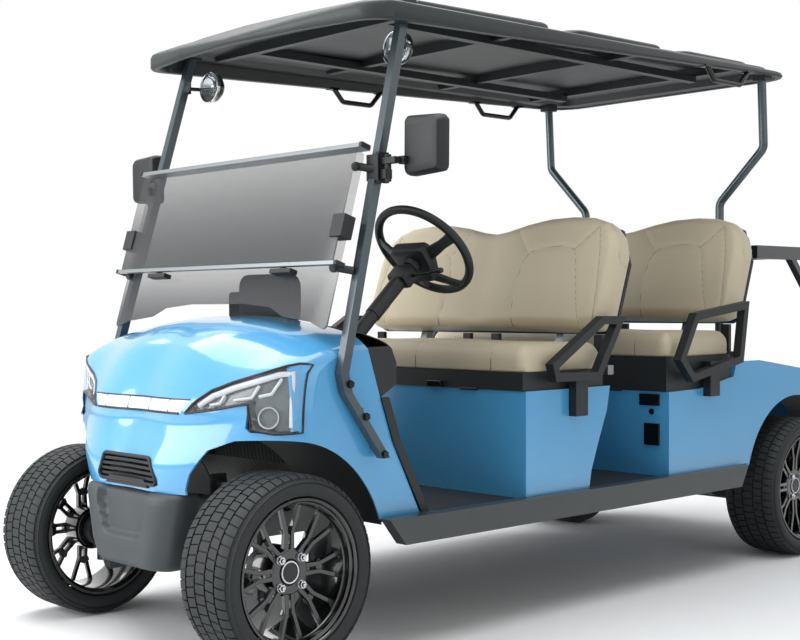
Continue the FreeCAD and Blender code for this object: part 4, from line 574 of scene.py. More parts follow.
# Seams of one half, as places across and up the cover
BACK_PANEL = ((0.172, 0.004), (0.158, 0.10), (0.160, 0.19), (0.176, 0.248), (0.212, 0.276), (0.30, 0.284),
              (0.352, 0.279), (0.382, 0.262), (0.398, 0.20), (0.424, 0.10), (0.452, 0.010))
BACK_CREST = ((0.184, 0.258), (0.150, 0.300), (0.122, 0.336), (0.112, 0.350))
BACK_CREST_OUT = ((0.374, 0.270), (0.410, 0.305), (0.440, 0.335), (0.458, 0.352))
BACK_BOLSTER = ((0.458, 0.352), (0.484, 0.25), (0.502, 0.12), (0.510, 0.012))
BACK_SEAMS = (BACK_PANEL, BACK_CREST, BACK_CREST_OUT, BACK_BOLSTER)

BENCH_HALF = 0.549
BENCH_FRONT = -0.437
BENCH_REAR = -0.042
BENCH_LOW = 0.7487
BENCH_THICK = 0.080
BENCH_EDGE = 0.042
# Places across where a seam turns down over the front edge
BENCH_SEAM_FOOTS = (0.096, 0.419)
BENCH_SEAMS = (((0.096, -0.437), (0.096, -0.395), (0.112, -0.352), (0.150, -0.322), (0.240, -0.305),
                (0.36, -0.31), (0.405, -0.34), (0.419, -0.385), (0.419, -0.437)),
               ((0.112, -0.352), (0.104, -0.20), (0.100, -0.042)),
               ((0.405, -0.34), (0.425, -0.20), (0.430, -0.042)))
SEAM_RADIUS = 0.010
STITCH_RADIUS = 0.0030
STITCH_DEPTH = 0.0014
THREAD_RADIUS = 0.0009
PAD_COLUMNS, PAD_ROWS = 150, 56


def eased(pairs, value):
    """Value on the line through pairs."""
    for (a0, b0), (a1, b1) in zip(pairs, pairs[1:]):
        if value <= a1:
            t = (value - a0) / (a1 - a0)
            return b0 + (b1 - b0) * t
    return pairs[-1][1]


def bump(value, low, high):
    """0 below one value, 1 above another, smooth between."""
    t = min(max((value - low) / (high - low), 0.0), 1.0)
    return t * t * (3 - 2 * t)


def seam_tree(seams):
    """Points each 2 mm along the seams of both halves, for finding the nearest seam."""
    points = []
    for seam in seams:
        line = smooth_line([(a, b, 0) for a, b in seam], 12)
        for a, b in zip(line, line[1:]):
            steps = max(int((b - a).length / 0.002), 1)
            points += [a.lerp(b, k / steps) for k in range(steps)]
    tree = kdtree.KDTree(len(points))
    for number, point in enumerate(points):
        tree.insert(point, number)
    tree.balance()
    return tree


def rounded_recess(distance, radius):
    """How far a rounded edge drops back at a distance from the outline."""
    t = min(max(1 - distance / radius, 0.0), 1.0)
    return radius * (1 - math.sqrt(1 - t * t))


def seam_valley(distance, depth):
    """Depth of the surface near a seam: a shallow valley with the stitched groove at its bottom."""
    return (math.exp(-(distance / SEAM_RADIUS) ** 2) * depth
            + math.exp(-(distance / STITCH_RADIUS) ** 2) * STITCH_DEPTH)


def pad_form(half, span, depth, edge, back_edge, swell, place):
    """Closed cushion over an outline, with a rounded front, a flatter back and a swell."""
    columns = []
    for i in range(PAD_COLUMNS + 1):
        # Points lie closer together towards the edges
        s = 2 * i / PAD_COLUMNS - 1
        u = half * (0.45 * s + 0.55 * math.sin(math.pi / 2 * s))
        low, high = span(abs(u) / half)
        shares = [0.4 * k / PAD_ROWS + 0.6 * (0.5 - 0.5 * math.cos(math.pi * k / PAD_ROWS))
                  for k in range(PAD_ROWS + 1)]
        columns.append([(u, low + (high - low) * share) for share in shares])
    ring = columns[0] + [c[-1] for c in columns] + columns[-1] + [c[0] for c in columns]
    edge_tree = kdtree.KDTree(len(ring) * 4)
    for number, (a, b) in enumerate(zip(ring, ring[1:] + ring[:1])):
        for k in range(4):
            near = (a[0] + (b[0] - a[0]) * k / 4, a[1] + (b[1] - a[1]) * k / 4, 0)
            if k == 0 or math.hypot(b[0] - a[0], b[1] - a[1]) < 0.05:
                edge_tree.insert(near, number * 4 + k)
    edge_tree.balance()
    front, back = [], []
    for column in columns:
        front_row, back_row = [], []
        for u, v in column:
            distance = edge_tree.find((u, v, 0))[2]
            fade = bump(distance, 0.0, 0.03)
            front_row.append(place(u, v, rounded_recess(distance, edge) - swell(u, v) * fade))
            back_row.append(place(u, v, depth - rounded_recess(distance, back_edge)))
        front.append(front_row)
        back.append(back_row)
    form = Form().add_grid(front).add_grid(back, flip=True)
    for near, far, flip in ((front[0], back[0], True), (front[-1], back[-1], False)):
        form.add_grid([near, far], flip=flip)
    for k, flip in ((0, False), (-1, True)):
        form.add_grid([[row[k] for row in front], [row[k] for row in back]], flip=flip)
    return form


def add_stitches(form, seams, surface):
    """A run of thread along each seam of both halves."""
    for seam in seams:
        line = smooth_line([(a, b, 0) for a, b in seam], 10)
        for side in (-1, 1):
            form.add_tube([surface(side * p.x, p.y) for p in line], THREAD_RADIUS, 6, mark=1)


def backrest_form():
    """Backrest of one row, upright at its foot, with arched panels and side bolsters."""
    tree = seam_tree(BACK_SEAMS)
    turn = Matrix.Rotation(-BACK_LEAN, 4, "X")

    def swell(u, v):
        across = abs(u)
        seat = math.exp(-((across - 0.29) / 0.17) ** 2 - ((v - 0.15) / 0.20) ** 2)
        bolster = bump(across, 0.44, 0.50) * (1 - bump(v, 0.24, 0.36))
        seam = tree.find((across, v, 0))[2]
        near_seam = math.exp(-((seam - 0.03) / 0.04) ** 2)
        crease = 0.0005 * noise.noise(Vector((u * 9, v * 16, 3.1))) * near_seam
        middle = 0.006 * math.exp(-(u / 0.05) ** 2)
        return 0.007 * seat + 0.005 * bolster - seam_valley(seam, 0.0026) - middle + crease

    def place(u, v, t):
        return BACK_FOOT + turn @ Vector((u, t, v))

    def span(share):
        return eased(BACK_LOW, share), eased(BACK_TOP, share)

    def on_face(u, v):
        distance = min(span(abs(u) / BACK_HALF)[1] - v, v, BACK_HALF - abs(u))
        fade = bump(distance, 0.0, 0.03)
        return place(u, v, rounded_recess(distance, BACK_EDGE) - swell(u, v) * fade - 0.0002)

    form = pad_form(BACK_HALF, span, BACK_THICK, BACK_EDGE, 0.010, swell, place)
    seams = [[p for p in seam if p[1] < span(p[0] / BACK_HALF)[1] - 0.012] for seam in BACK_SEAMS]
    add_stitches(form, seams, on_face)
    return form


def bench_form():
    """Seat cushion of one row: rounded over its front, with a sewn front panel for each place."""
    tree = seam_tree(BENCH_SEAMS)

    def swell(u, v):
        across = abs(u)
        dish = math.exp(-((across - 0.27) / 0.15) ** 2 - ((v + 0.20) / 0.14) ** 2)
        crown = 0.010 * (1 - (across / BENCH_HALF) ** 4) * (1 - ((v + 0.24) / 0.2) ** 2)
        seam = tree.find((across, v, 0))[2]
        near_seam = math.exp(-((seam - 0.03) / 0.05) ** 2)
        crease = 0.0005 * noise.noise(Vector((u * 10, v * 12, 7.7))) * near_seam
        return 0.004 + crown - 0.007 * dish - seam_valley(seam, 0.0024) + crease

    def place(u, v, t):
        return Vector((u, v, BENCH_LOW + BENCH_THICK - t))

    def span(share):
        ease = 0.03 * (1 - math.sqrt(max(1 - max((share - 0.93) / 0.07, 0.0) ** 2, 0.0)))
        return BENCH_FRONT + ease, BENCH_REAR - ease

    def on_top(u, v):
        distance = min(v - BENCH_FRONT, BENCH_HALF - abs(u))
        fade = bump(distance, 0.0, 0.03)
        return place(u, v, rounded_recess(distance, BENCH_EDGE) - swell(u, v) * fade - 0.0004)

    form = pad_form(BENCH_HALF, span, BENCH_THICK, BENCH_EDGE, 0.008, swell, place)
    seams = [[p for p in seam if p[1] > BENCH_FRONT + 0.004] for seam in BENCH_SEAMS]
    add_stitches(form, seams, on_top)
    for x in BENCH_SEAM_FOOTS:
        for side in (-1, 1):
            drop = [Vector((side * x, BENCH_FRONT - 0.0004, BENCH_LOW + z)) for z in (0.002, 0.018, 0.036)]
            form.add_tube(drop + [on_top(side * x, BENCH_FRONT + 0.006)], 0.0012, 6, mark=1)
    return form


class GOLFCART_OT_upholstery(bpy.types.Operator):
    """Vinyl benches and backrests with sewn panels"""
    bl_idname = "golfcart.upholstery"
    bl_label = "Upholstery"

    def execute(self, context):
        back, bench = backrest_form(), bench_form()
        finishes = ("vinyl", "thread")
        for dy, dz, row in SEAT_ROWS:
            shift = Matrix.Translation((0, dy, dz))
            made = back.moved(shift).piece("backrest_cover_" + row, finishes, smooth=180, slot="seat_vinyl")
            made = bench.moved(shift).piece("bench_cover_" + row, finishes, "seat_" + row, smooth=180,
                                            slot="seat_vinyl")
            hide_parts(row + "_seat_cushion")
        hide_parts("backrests")
        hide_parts("backrests")
        return {"FINISHED"}


# Tyres and rims

TYRE_HALF_MM = ((0, 254.0), (40, 253.6), (78, 252.4), (87, 249.5), (95, 244), (100.5, 236), (102.5, 226),
                (101.5, 215), (96, 205), (84, 201))
TYRE_PROFILE_MM = tuple((-x, r) for x, r in TYRE_HALF_MM[:0:-1]) + TYRE_HALF_MM
# Each rib's two sides, its grooves' slant, the blocks' share of a pitch, and the grooves' depth
TREAD_RIBS_MM = ((-92, -61, 0.16, 0.84, 9.5), (-55, -24, 0.16, 0.86, 8.0), (-18, 18, 0.0, 0.86, 8.0),
                 (24, 55, -0.16, 0.86, 8.0), (61, 92, -0.16, 0.84, 9.5))
# Radius of each sidewall ring, and the width at its foot
SIDEWALL_RINGS_MM = ((241.0, 98.6), (222.0, 101.2))
# Wheel, its place across and along, and the side that its face looks to
WHEELS = (("front_left", 0.466, FRONT_AXLE_Y, 1), ("front_right", -0.466, FRONT_AXLE_Y, -1),
          ("rear_left", 0.514, REAR_AXLE_Y, 1), ("rear_right", -0.514, REAR_AXLE_Y, -1))


def tread_row(x_mm, turn, depth_mm):
    """Points across a block at a place on the tread, nearly flat and rounded at the shoulders."""
    edge = max(abs(x_mm) - 66, 0)
    radius = (260.0 - 0.00012 * x_mm * x_mm - 0.0105 * edge * edge - depth_mm) * MM
    return [Vector((x_mm * MM, radius * math.sin(a), radius * math.cos(a))) for a in turn]


def tyre_form(pitches):
    """Carcass with five ribs of slanted tread blocks, and thin rings on the sidewalls."""
    form = Form().add_spun(in_metres(TYRE_PROFILE_MM), 96)
    for rib, (x0, x1, lean, fill, depth) in enumerate(TREAD_RIBS_MM):
        for number in range(pitches):
            start = 2 * math.pi * (number + 0.5 * (rib % 2)) / pitches
            sweep = 2 * math.pi / pitches * fill
            top, low = [], []
            for i in range(4):
                x = x0 + (x1 - x0) * i / 3
                skew = lean * (x - (x0 + x1) / 2) / (x1 - x0) * 2 * math.pi / pitches
                turn = [start + skew + sweep * k / 2 for k in range(3)]
                top.append(tread_row(x, turn, 0.0))
                low.append(tread_row(x, turn, depth))
            form.add_grid(top)
            for side in (0, -1):
                form.add_grid([top[side], low[side]], flip=side == 0)
                form.add_grid([[row[side] for row in top], [row[side] for row in low]], flip=side == -1)
    for side in (-1, 1):
        for radius, foot in SIDEWALL_RINGS_MM:
            ring = ((97.2, radius + 1.4), (101.6, radius + 0.5), (101.6, radius - 0.5), (foot, radius - 1.6))
            form.add_spun(in_metres([(side * x, r) for x, r in ring]), 96)
    return form


class GOLFCART_OT_tyres(bpy.types.Operator):
    """Four road tyres with block tread"""
    bl_idname = "golfcart.tyres"
    bl_label = "Tyres"

    def execute(self, context):
        form = tyre_form(context.scene.golf_cart.tread_pitches)
        for name, x, y, _ in WHEELS:
            placed = form.moved(Matrix.Translation((x, y, AXLE_Z)))
            made = placed.piece("tyre_" + name, "tyre", "wheel_" + name, smooth=32, slot="tyre_rubber")
            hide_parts(name + "_tyre")
        return {"FINISHED"}


RIM_PROFILE_MM = ((95, 199.4), (95.5, 193), (92, 190), (84, 188.6), (80, 183.2), (66, 181.4), (61, 177.6),
                  (40, 176.6), (-60, 176), (-84, 181), (-95, 191), (-95, 199.4), (-90, 199.4), (-86, 189),
                  (-60, 184.5), (56, 184.5), (82, 195), (86, 199.4))
HUB_PROFILE_MM = ((-38, 21), (-38, 60), (-30, 66), (34, 66), (46, 61), (49, 56), (49, 36), (45.5, 33),
                  (45.5, 21))
CAP_PROFILE_MM = ((40, 0.5), (40, 32), (48.5, 32), (49.5, 30.5), (49.5, 25.5), (48, 24.5), (48.5, 12),
                  (49, 0.5))
CAP_RING = ((0.0492, 0.0305), (0.0506, 0.0300), (0.0506, 0.0262), (0.0492, 0.0257))
SPOKE_PAIRS = 8
SPOKE_WEB = ((-0.012, 0.050), (0.012, 0.050), (0.009, 0.074), (-0.009, 0.074))
SPOKE_ARCH = ((-0.016, 0.098), (0.016, 0.098), (0.022, 0.112), (0.0, 0.122), (-0.022, 0.112))
LUG_CIRCLE = 0.0508
LUG_ACROSS, LUG_HEIGHT = 0.019, 0.013
LUG_SKIRT = ((0.0, 0.0), (0.0195, 0.0), (0.0175, 0.005), (0.0125, 0.0075))


def spoke_outline(side):
    """Flat outline of one bar of a pair: straight from the hub, then turned away from its twin."""
    path = [(side * 0.0105, 0.052), (side * 0.0105, 0.104), (side * 0.034, 0.1795)]
    widths = (0.0135, 0.0115, 0.0125)
    left, right = [], []
    for i, (a, b) in enumerate(path):
        a0, b0 = path[max(i - 1, 0)]
        a1, b1 = path[min(i + 1, 2)]
        run = Vector((a1 - a0, b1 - b0)).normalized()
        left.append((a - run.y * widths[i] / 2, b + run.x * widths[i] / 2))
        right.append((a + run.y * widths[i] / 2, b - run.x * widths[i] / 2))
    return left + right[::-1]


def add_bar(form, outline, turn, low, high, low_rise=0.0, high_rise=0.0):
    """Flat bar of a spoke between two depths, which may rise towards the barrel."""
    form.add_prism(outline, lambda a, b: turn @ Vector((low + low_rise * bump(b, 0.06, 0.18), a, b)),
                   lambda a, b: turn @ Vector((high + high_rise * bump(b, 0.06, 0.18), a, b)))


def rim_form():
    """Wheel rim with its face towards +X: stepped barrel, split twin spokes and hub."""
    form = Form().add_spun(in_metres(RIM_PROFILE_MM), 96, closed=True)
    form.add_spun(in_metres(HUB_PROFILE_MM), 64, closed=True)
    for pair in range(SPOKE_PAIRS):
        turn = Matrix.Rotation(2 * math.pi * pair / SPOKE_PAIRS, 4, "X")
        for side in (-1, 1):
            add_bar(form, spoke_outline(side), turn, 0.030, 0.047, 0.012, 0.006)
        add_bar(form, SPOKE_WEB, turn, 0.026, 0.043)
        add_bar(form, SPOKE_ARCH, turn, 0.030, 0.040)
    return form


def lug_form():
    """Four bright nuts and the thin ring round the cap."""
    form = Form()
    for k in range(4):
        angle = math.pi * (2 * k + 1) / 4
        seat = (0.0485, LUG_CIRCLE * math.cos(angle), LUG_CIRCLE * math.sin(angle))
        place = frame_at(seat, (0, 1, 0), (1, 0, 0))
        hex_bolt(form, place, LUG_ACROSS, LUG_HEIGHT)
        onward = Matrix.Rotation(math.pi / 2, 4, "Y")
        form.add_spun(LUG_SKIRT, 6, place @ onward @ Matrix.Diagonal((-1, 1, 1, 1)))
    form.add_spun(CAP_RING, 48, closed=True)
    return form


class GOLFCART_OT_rims(bpy.types.Operator):
    """Four deep-dish rims with split twin spokes"""
    bl_idname = "golfcart.rims"
    bl_label = "Rims"

    def execute(self, context):
        rim, lugs = rim_form(), lug_form()
        cap = Form().add_spun(in_metres(CAP_PROFILE_MM), 48)
        for name, x, y, side in WHEELS:
            place, body = Matrix.Translation((x, y, AXLE_Z)), "wheel_" + name
            shapes = [form.on_side(side).moved(place) for form in (rim, cap, lugs)]
            made = shapes[0].piece("rim_" + name, "alloy", body, 1.6, 2, slot="alloy_black")
            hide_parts(name + "_rim")
            shapes[1].piece("rim_cap_" + name, "gloss", body, slot="gloss_black")
            shapes[2].piece("rim_nuts_" + name, "chrome", body, 0.4, 1, slot="bare_alloy")
        return {"FINISHED"}


# Roof: a vacuum-formed tray that rises to the rear, with a crown, raised panels and ribs below

ROOF_FRONT, ROOF_REAR, ROOF_HALF = -1.140, 1.167, 0.550
ROOF_BOW = 0.084
ROOF_LOW_LINE = ((-1.14, 1.736), (1.167, 1.806))
ROOF_TOP_LINE = ((-1.14, 1.758), (-1.09, 1.786), (-0.93, 1.801), (1.167, 1.823))
ROOF_CROWN_LINE = ((-0.95, 1.811), (-0.70, 1.832), (1.05, 1.848), (1.167, 1.840))
# How far each ring is moved inward, the side line it follows, and its lift over that line
ROOF_SHELL = ((0.027, "low", 0.002), (0.024, "low", -0.001), (0.004, "low", -0.001), (0.0, "low", 0.005),
              (0.0, "top", -0.014), (0.004, "top", -0.005), (0.014, "top", 0.0), (0.052, "top", 0.003),
              (0.064, "crown", -0.006), (0.078, "crown", 0.0), (0.22, "crown", 0.003), (0.45, "crown", 0.005))
ROOF_UNDER = ((0.027, "low", 0.002), (0.030, "low", 0.008), (0.034, "top", -0.014), (0.070, "top", -0.010),
              (0.088, "crown", -0.012), (0.45, "crown", -0.006))
ROOF_PANEL_SPANS = ((-0.84, -0.16), (-0.06, 0.46), (0.56, 1.02))
ROOF_PANEL_HALF = 0.452
# How far each ring of a raised panel is moved inward, and its lift over the crown's line
ROOF_PANEL_LEVELS = ((0.0, -0.004), (0.003, 0.008), (0.010, 0.014), (0.06, 0.016))
ROOF_RIBS = (-0.82, -0.31, 0.29, 0.85)
# Side, front end and rear end of each grab bar
GRAB_BARS = ((-0.536, -0.207, 0.018), (-0.536, 0.586, 0.836), (0.536, 0.586, 0.836))
GRAB_BAR_DROP, GRAB_BAR_SLOPE = 0.044, 0.04
GRAB_BAR_BEND, GRAB_BAR_RADIUS = 0.022, 0.0095


def roof_z(line, y):
    """Height of one of the roof's side lines at a place along the cart."""
    return eased({"low": ROOF_LOW_LINE, "top": ROOF_TOP_LINE, "crown": ROOF_CROWN_LINE}[line], y)


def on_roof(outline, line, lift):
    """Outline in X and Y, lifted over one of the roof's side lines."""
    return [Vector((a, b, roof_z(line, b) + lift)) for a, b in outline]


def roof_ring(inset, line, lift):
    """Closed ring of the roof's plan, moved inward, at the height of one of its side lines."""
    x, y0, y1 = ROOF_HALF - inset, ROOF_FRONT + inset, ROOF_REAR - inset
    corner = y0 + ROOF_BOW * max(1 - inset / 0.3, 0.0)
    between = y0 + (corner - y0) * 0.3
    plan = [(-x, corner), (-x / 2, between), (0, y0), (x / 2, between), (x, corner), (x, y1), (-x, y1)]
    return on_roof(rounded_outline(plan, max(0.13 - inset, 0.02), 6), line, lift)


def roof_form():
    """Shell and underside, raised panels, cross ribs, two runners and the pads over the pillars."""
    form = Form()
    for levels in (ROOF_SHELL, ROOF_UNDER):
        form.add_rings([roof_ring(*level) for level in levels], ((-1, 0),))
    for y0, y1 in ROOF_PANEL_SPANS:
        rings = []
        for inset, lift in ROOF_PANEL_LEVELS:
            x = ROOF_PANEL_HALF - inset
            plan = [(-x, y0 + inset), (x, y0 + inset), (x, y1 - inset), (-x, y1 - inset)]
            rings.append(on_roof(rounded_outline(plan, 0.05, 5), "crown", lift))
        form.add_rings(rings, ((-1, 0),))
    for y in ROOF_RIBS:
        z = roof_z("crown", y)
        form.add_box((-0.47, y, z - 0.036), (0.47, y + 0.03, z - 0.006))
    for side in (-1, 1):
        form.add_box((side * 0.30 - 0.016, -0.79, 1.789), (side * 0.30 + 0.016, 0.86, 1.815))
        for y, z in ((-0.898, 1.786), (1.012, 1.786)):
            form.add_box((side * 0.5 - 0.024, y - 0.026, z), (side * 0.5 + 0.024, y + 0.026, 1.816))
    return form


def handle_form(x, y0, y1):
    """Grab bar with round bends, let into the roof's lower edge."""
    low, high = roof_z("low", y0) - GRAB_BAR_DROP, roof_z("low", y1) + 0.01
    points = [(x, y0 - 0.02, high), (x, y0 + GRAB_BAR_SLOPE, low), (x, y1 - GRAB_BAR_SLOPE, low),
              (x, y1 + 0.02, high)]
    form = Form().add_tube(bent_line(points, GRAB_BAR_BEND), GRAB_BAR_RADIUS, 12)
    for y in (y0 - 0.012, y1 + 0.012):
        z = roof_z("low", y)
        form.add_box((x - 0.014, y - 0.022, z - 0.004), (x + 0.014, y + 0.022, z + 0.004))
    return form


class GOLFCART_OT_roof(bpy.types.Operator):
    """Roof tray with its raised panels, and the grab bars under its edge"""
    bl_idname = "golfcart.roof"
    bl_label = "Roof"

    def execute(self, context):
        made = roof_form().piece("roof_tray", "roof", bevel_mm=1.5, segments=1, smooth=40, slot="trim_black")
        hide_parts("roof")
        form = Form()
        for bar in GRAB_BARS:
            form.joined(handle_form(*bar))
        made = form.piece("grab_bars", "gloss", smooth=60, slot="frame_black")
        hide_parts("roof_handles")
        return {"FINISHED"}


# Front end: the bumper moulding, and grille, headlamps and lamp bar on the cowl's own surface

BUMPER_LOW, BUMPER_TOP, BUMPER_HALF = 0.224, 0.446, 0.231
BUMPER_NOSE, BUMPER_DEPTH = -1.533, 0.105
# Share of the height, then the shares of the half width and of the setback there
BUMPER_LEVELS = ((0.0, 0.66, 0.30), (0.02, 0.70, 0.16), (0.07, 0.745, 0.06), (0.3, 0.85, 0.0),
                 (0.62, 0.94, 0.0), (0.86, 1.0, 0.02), (0.94, 1.0, 0.05), (0.985, 0.99, 0.13),
                 (1.0, 0.97, 0.26))
# Shares of the half width and of the depth, from the rear corner to the nose
BUMPER_PLAN = ((1.0, 1.0), (1.0, 0.62), (0.99, 0.42), (0.94, 0.28), (0.80, 0.10), (0.72, 0.035), (0.62, 0.0))


def bumper_form():
    """Skin of the bumper, wider at the top, with a pocket that is open at its upper edge."""
    rows = []
    for k in range(45):
        t = k / 44
        half = BUMPER_HALF * eased([level[:2] for level in BUMPER_LEVELS], t)
        back = BUMPER_DEPTH * eased([level[::2] for level in BUMPER_LEVELS], t)
        z = BUMPER_LOW + t * (BUMPER_TOP - BUMPER_LOW)
        side = [(a * half, BUMPER_NOSE + back + b * (BUMPER_DEPTH - back)) for a, b in BUMPER_PLAN]
        front = [(side[-1][0] * (1 - i / 14), side[-1][1]) for i in range(1, 28)]
        row = []
        for x, y in side + front + [(-a, b) for a, b in side[::-1]]:
            pocket = 0.122 - 0.040 * min(max((0.40 - z) / 0.09, 0.0), 1.0)
            sunk = 0.021 * bump(pocket - abs(x), 0.0, 0.018) * bump(z, 0.308, 0.326)
            row.append(Vector((x, y + sunk * (0.75 + 0.25 * bump(z, 0.32, 0.44)), z)))
        rows.append(row)
    form = Form().add_grid(rows)
    form.add(rows[0], [tuple(range(len(rows[0])))])
    ledge = [p + Vector((0, 0.004, -0.008)) for p in rows[-1]]
    form.add_grid([rows[-1], ledge])
    form.add(ledge, [tuple(range(len(ledge)))])
    return form


# Place across, and height of the left lamp's lower and upper edge there
LAMP_LOW = ((0.221, 0.666), (0.319, 0.681), (0.379, 0.694), (0.404, 0.697), (0.409, 0.652), (0.415, 0.630),
            (0.470, 0.619), (0.521, 0.623))
LAMP_TOP = ((0.221, 0.668), (0.254, 0.704), (0.289, 0.731), (0.346, 0.754), (0.430, 0.779), (0.509, 0.806),
            (0.521, 0.801))
LAMP_COLUMNS = (0.221, 0.230, 0.243, 0.254, 0.270, 0.289, 0.310, 0.330, 0.346, 0.365, 0.385, 0.404, 0.4065,
                0.409, 0.415, 0.430, 0.450, 0.470, 0.490, 0.505, 0.514, 0.521)
LAMP_DEPTH = 0.024
# Short light guides, the leg of the long one, and the projector, seen from the front
LAMP_TICKS = (((0.285, 0.690), (0.312, 0.694), (0.322, 0.718)),
              ((0.350, 0.704), (0.400, 0.712), (0.418, 0.745)),
              ((0.420, 0.716), (0.452, 0.724), (0.474, 0.765)))
LAMP_LEG_X, LAMP_LEG_Z = 0.500, (0.778, 0.75, 0.72, 0.69, 0.66, 0.636)
GUIDE_DEPTH, TICK_DEPTH = 0.010, 0.013
PROJECTOR = (0.455, 0.662)
PROJECTOR_RING = ((-0.020, 0.023), (-0.002, 0.0235), (0.003, 0.0255), (0.003, 0.0295), (-0.004, 0.0310),
                  (-0.020, 0.0310))
# Places across the lamp bar where its lower edge, its upper edge and its posts run
BAR_LOW_X = (-0.20, -0.15, -0.10, -0.05, 0.0, 0.05, 0.10, 0.15, 0.20)
BAR_HIGH_X = (-0.232, -0.17, -0.11, -0.05, 0.0, 0.05, 0.11, 0.17, 0.232)
BAR_POST_X = (-0.155, -0.052, 0.052, 0.155)
GRILLE_CORNERS = ((-0.111, 0.540), (-0.147, 0.466), (0.147, 0.466), (0.111, 0.540))
GRILLE_BLOCK = ((-0.105, 0.455), (0.105, 0.455), (0.085, 0.478), (-0.085, 0.478))


class Skin:
    """The cowl's outer surface, as a depth for each place seen from the front."""

    def __init__(self, *nodes):
        self.trees = [surface_of(node) for node in nodes]

    def point(self, x, z, depth=0.0):
        """Point on the surface, or a depth behind it. A ray that misses is tried again a few mm beside."""
        best = None
        for tree in self.trees:
            for drift in (0.0, 0.0016, -0.0016, 0.004, -0.004, 0.008, -0.008):
                hit = tree.ray_cast(Vector((x + drift, -2.0, z + drift)), Vector((0, 1, 0)))[0]
                if hit is not None and (best is None or hit.y < best):
                    best = hit.y
                if hit is not None:
                    break
        if best is None:
            raise RuntimeError("no surface at %.3f %.3f" % (x, z))
        return Vector((x, best + depth, z))


def lamp_rows(skin, depth, margin, bulge=0.0):
    """Grid over the lamp's outline, narrowed by a margin, at a depth behind the skin."""
    rows = []
    for x in LAMP_COLUMNS:
        low, high = eased(LAMP_LOW, x) + margin, eased(LAMP_TOP, x) - margin
        if high < low:
            low = high = (low + high) / 2
        x_in = min(max(x, LAMP_COLUMNS[0] + 1.4 * margin), LAMP_COLUMNS[-1] - margin)
        rows.append([skin.point(x_in, low + (high - low) * k / 8, depth - bulge * math.sin(math.pi * k / 8))
                     for k in range(9)])
    return rows


def rim_of(rows):
    """The outline of a grid of points, in order."""
    near, far = rows[0][::-1], [row[-1] for row in rows[::-1]]
    return [row[0] for row in rows] + rows[-1][1:] + far[1:] + near[1:-1]


def headlamp_forms(skin):
    """Pocket, guides and projector of the left headlamp, with its cover."""
    face, inner = lamp_rows(skin, 0.0, 0.0), lamp_rows(skin, 0.0015, 0.0045)
    floor = lamp_rows(skin, LAMP_DEPTH, 0.0075)
    pocket = Form().add_grid([rim_of(face), rim_of(inner)], closed_columns=True, mark=1)
    pocket.add_grid([rim_of(inner), rim_of(floor)], closed_columns=True, mark=1)
    pocket.add_grid(floor, mark=0)
    pocket.add_tube([p + Vector((0, -0.0005, 0)) for p in rim_of(face)], 0.0034, 8, closed=True, mark=1)
    guide = Form()
    upper = [skin.point(x, eased(LAMP_TOP, x) - 0.017, GUIDE_DEPTH) for x in LAMP_COLUMNS[3:18]]
    leg = [skin.point(LAMP_LEG_X, z, GUIDE_DEPTH) for z in LAMP_LEG_Z]
    guide.add_tube(upper + leg, 0.0085, 10, flat=0.7)
    for tick in LAMP_TICKS:
        guide.add_tube([skin.point(x, z, TICK_DEPTH) for x, z in tick], 0.0046, 8, flat=0.7)
    middle = skin.point(*PROJECTOR)
    aside = skin.point(PROJECTOR[0] + 0.02, PROJECTOR[1]) - middle
    normal = aside.cross(Vector((0, 0.004, 0.02))).normalized()
    outward = frame_at(middle - normal * 0.005, normal, (0, 0, 1))
    chrome = Form().add_spun(PROJECTOR_RING, 32, outward, closed=True)
    turns = (0.01, 0.3, 0.6, 0.9, 1.2, math.pi / 2)
    ball = [(0.010 * math.cos(a) - 0.008, 0.0236 * math.sin(a)) for a in turns]
    glass = Form().add_spun(ball, 28, outward)
    cover = Form().add_grid(lamp_rows(skin, 0.0004, 0.003, 0.001))
    return pocket, guide, chrome, glass, cover


class GOLFCART_OT_front_end(bpy.types.Operator):
    """Headlamps, lamp bar, grille frame and bumper moulding"""
    bl_idname = "golfcart.front_end"
    bl_label = "Front end"

    def execute(self, context):
        made = bumper_form().piece("bumper_moulding", "bumper", smooth=38, slot="bumper_grey")
        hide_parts("front_bumper")
        skin = Skin("headlamps", "front_cowl")
        names = ("pocket", "guides", "projector_ring", "projector_ball", "cover")
        finishes = (("housing", "gloss"), "guide", "chrome", "lens", "lens")
        for side, word in SIDES:
            for form, name, finish in zip(headlamp_forms(skin), names, finishes):
                form = form.on_side(side)
                made = form.piece("headlamp_%s_%s" % (word, name), finish, smooth=50, slot="lens")
                if name == "pocket":
                    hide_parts("headlamps")
        self.lamp_bar()
        self.grille()
        return {"FINISHED"}

    def lamp_bar(self):
        """Black edges above and below the lamp bar, and the thin posts between its fields."""
        skin = Skin("lamp_bar", "front_cowl")
        form = Form()
        form.add_tube([skin.point(x, 0.6655, -0.0015) for x in BAR_LOW_X], 0.0035, 8)
        form.add_tube([skin.point(x, 0.7035, -0.001) for x in BAR_HIGH_X], 0.0022, 8)
        for x in BAR_POST_X:
            form.add_tube([skin.point(x, z, -0.0006) for z in (0.668, 0.702)], 0.0012, 6)
        form.piece("lamp_bar_edges", "gloss", smooth=60, slot="gloss_black")

    def grille(self):
        """Black frame round the slats, and the block between them and the bumper."""
        skin = Skin("lower_grille", "front_cowl")
        line = [skin.point(x, z, -0.002) for x, z in rounded_outline(GRILLE_CORNERS, 0.012, 4)]
        form = Form().add_tube(line, 0.0055, 8, closed=True)
        form.add_prism(GRILLE_BLOCK, lambda a, b: Vector((a, -1.512, b)), lambda a, b: Vector((a, -1.47, b)))
        form.piece("grille_frame", "black", bevel_mm=1.0, smooth=50, slot="trim_black")


# Windscreen: two tinted panes, slim rails, clips, hooks and the knobs that hold the pane

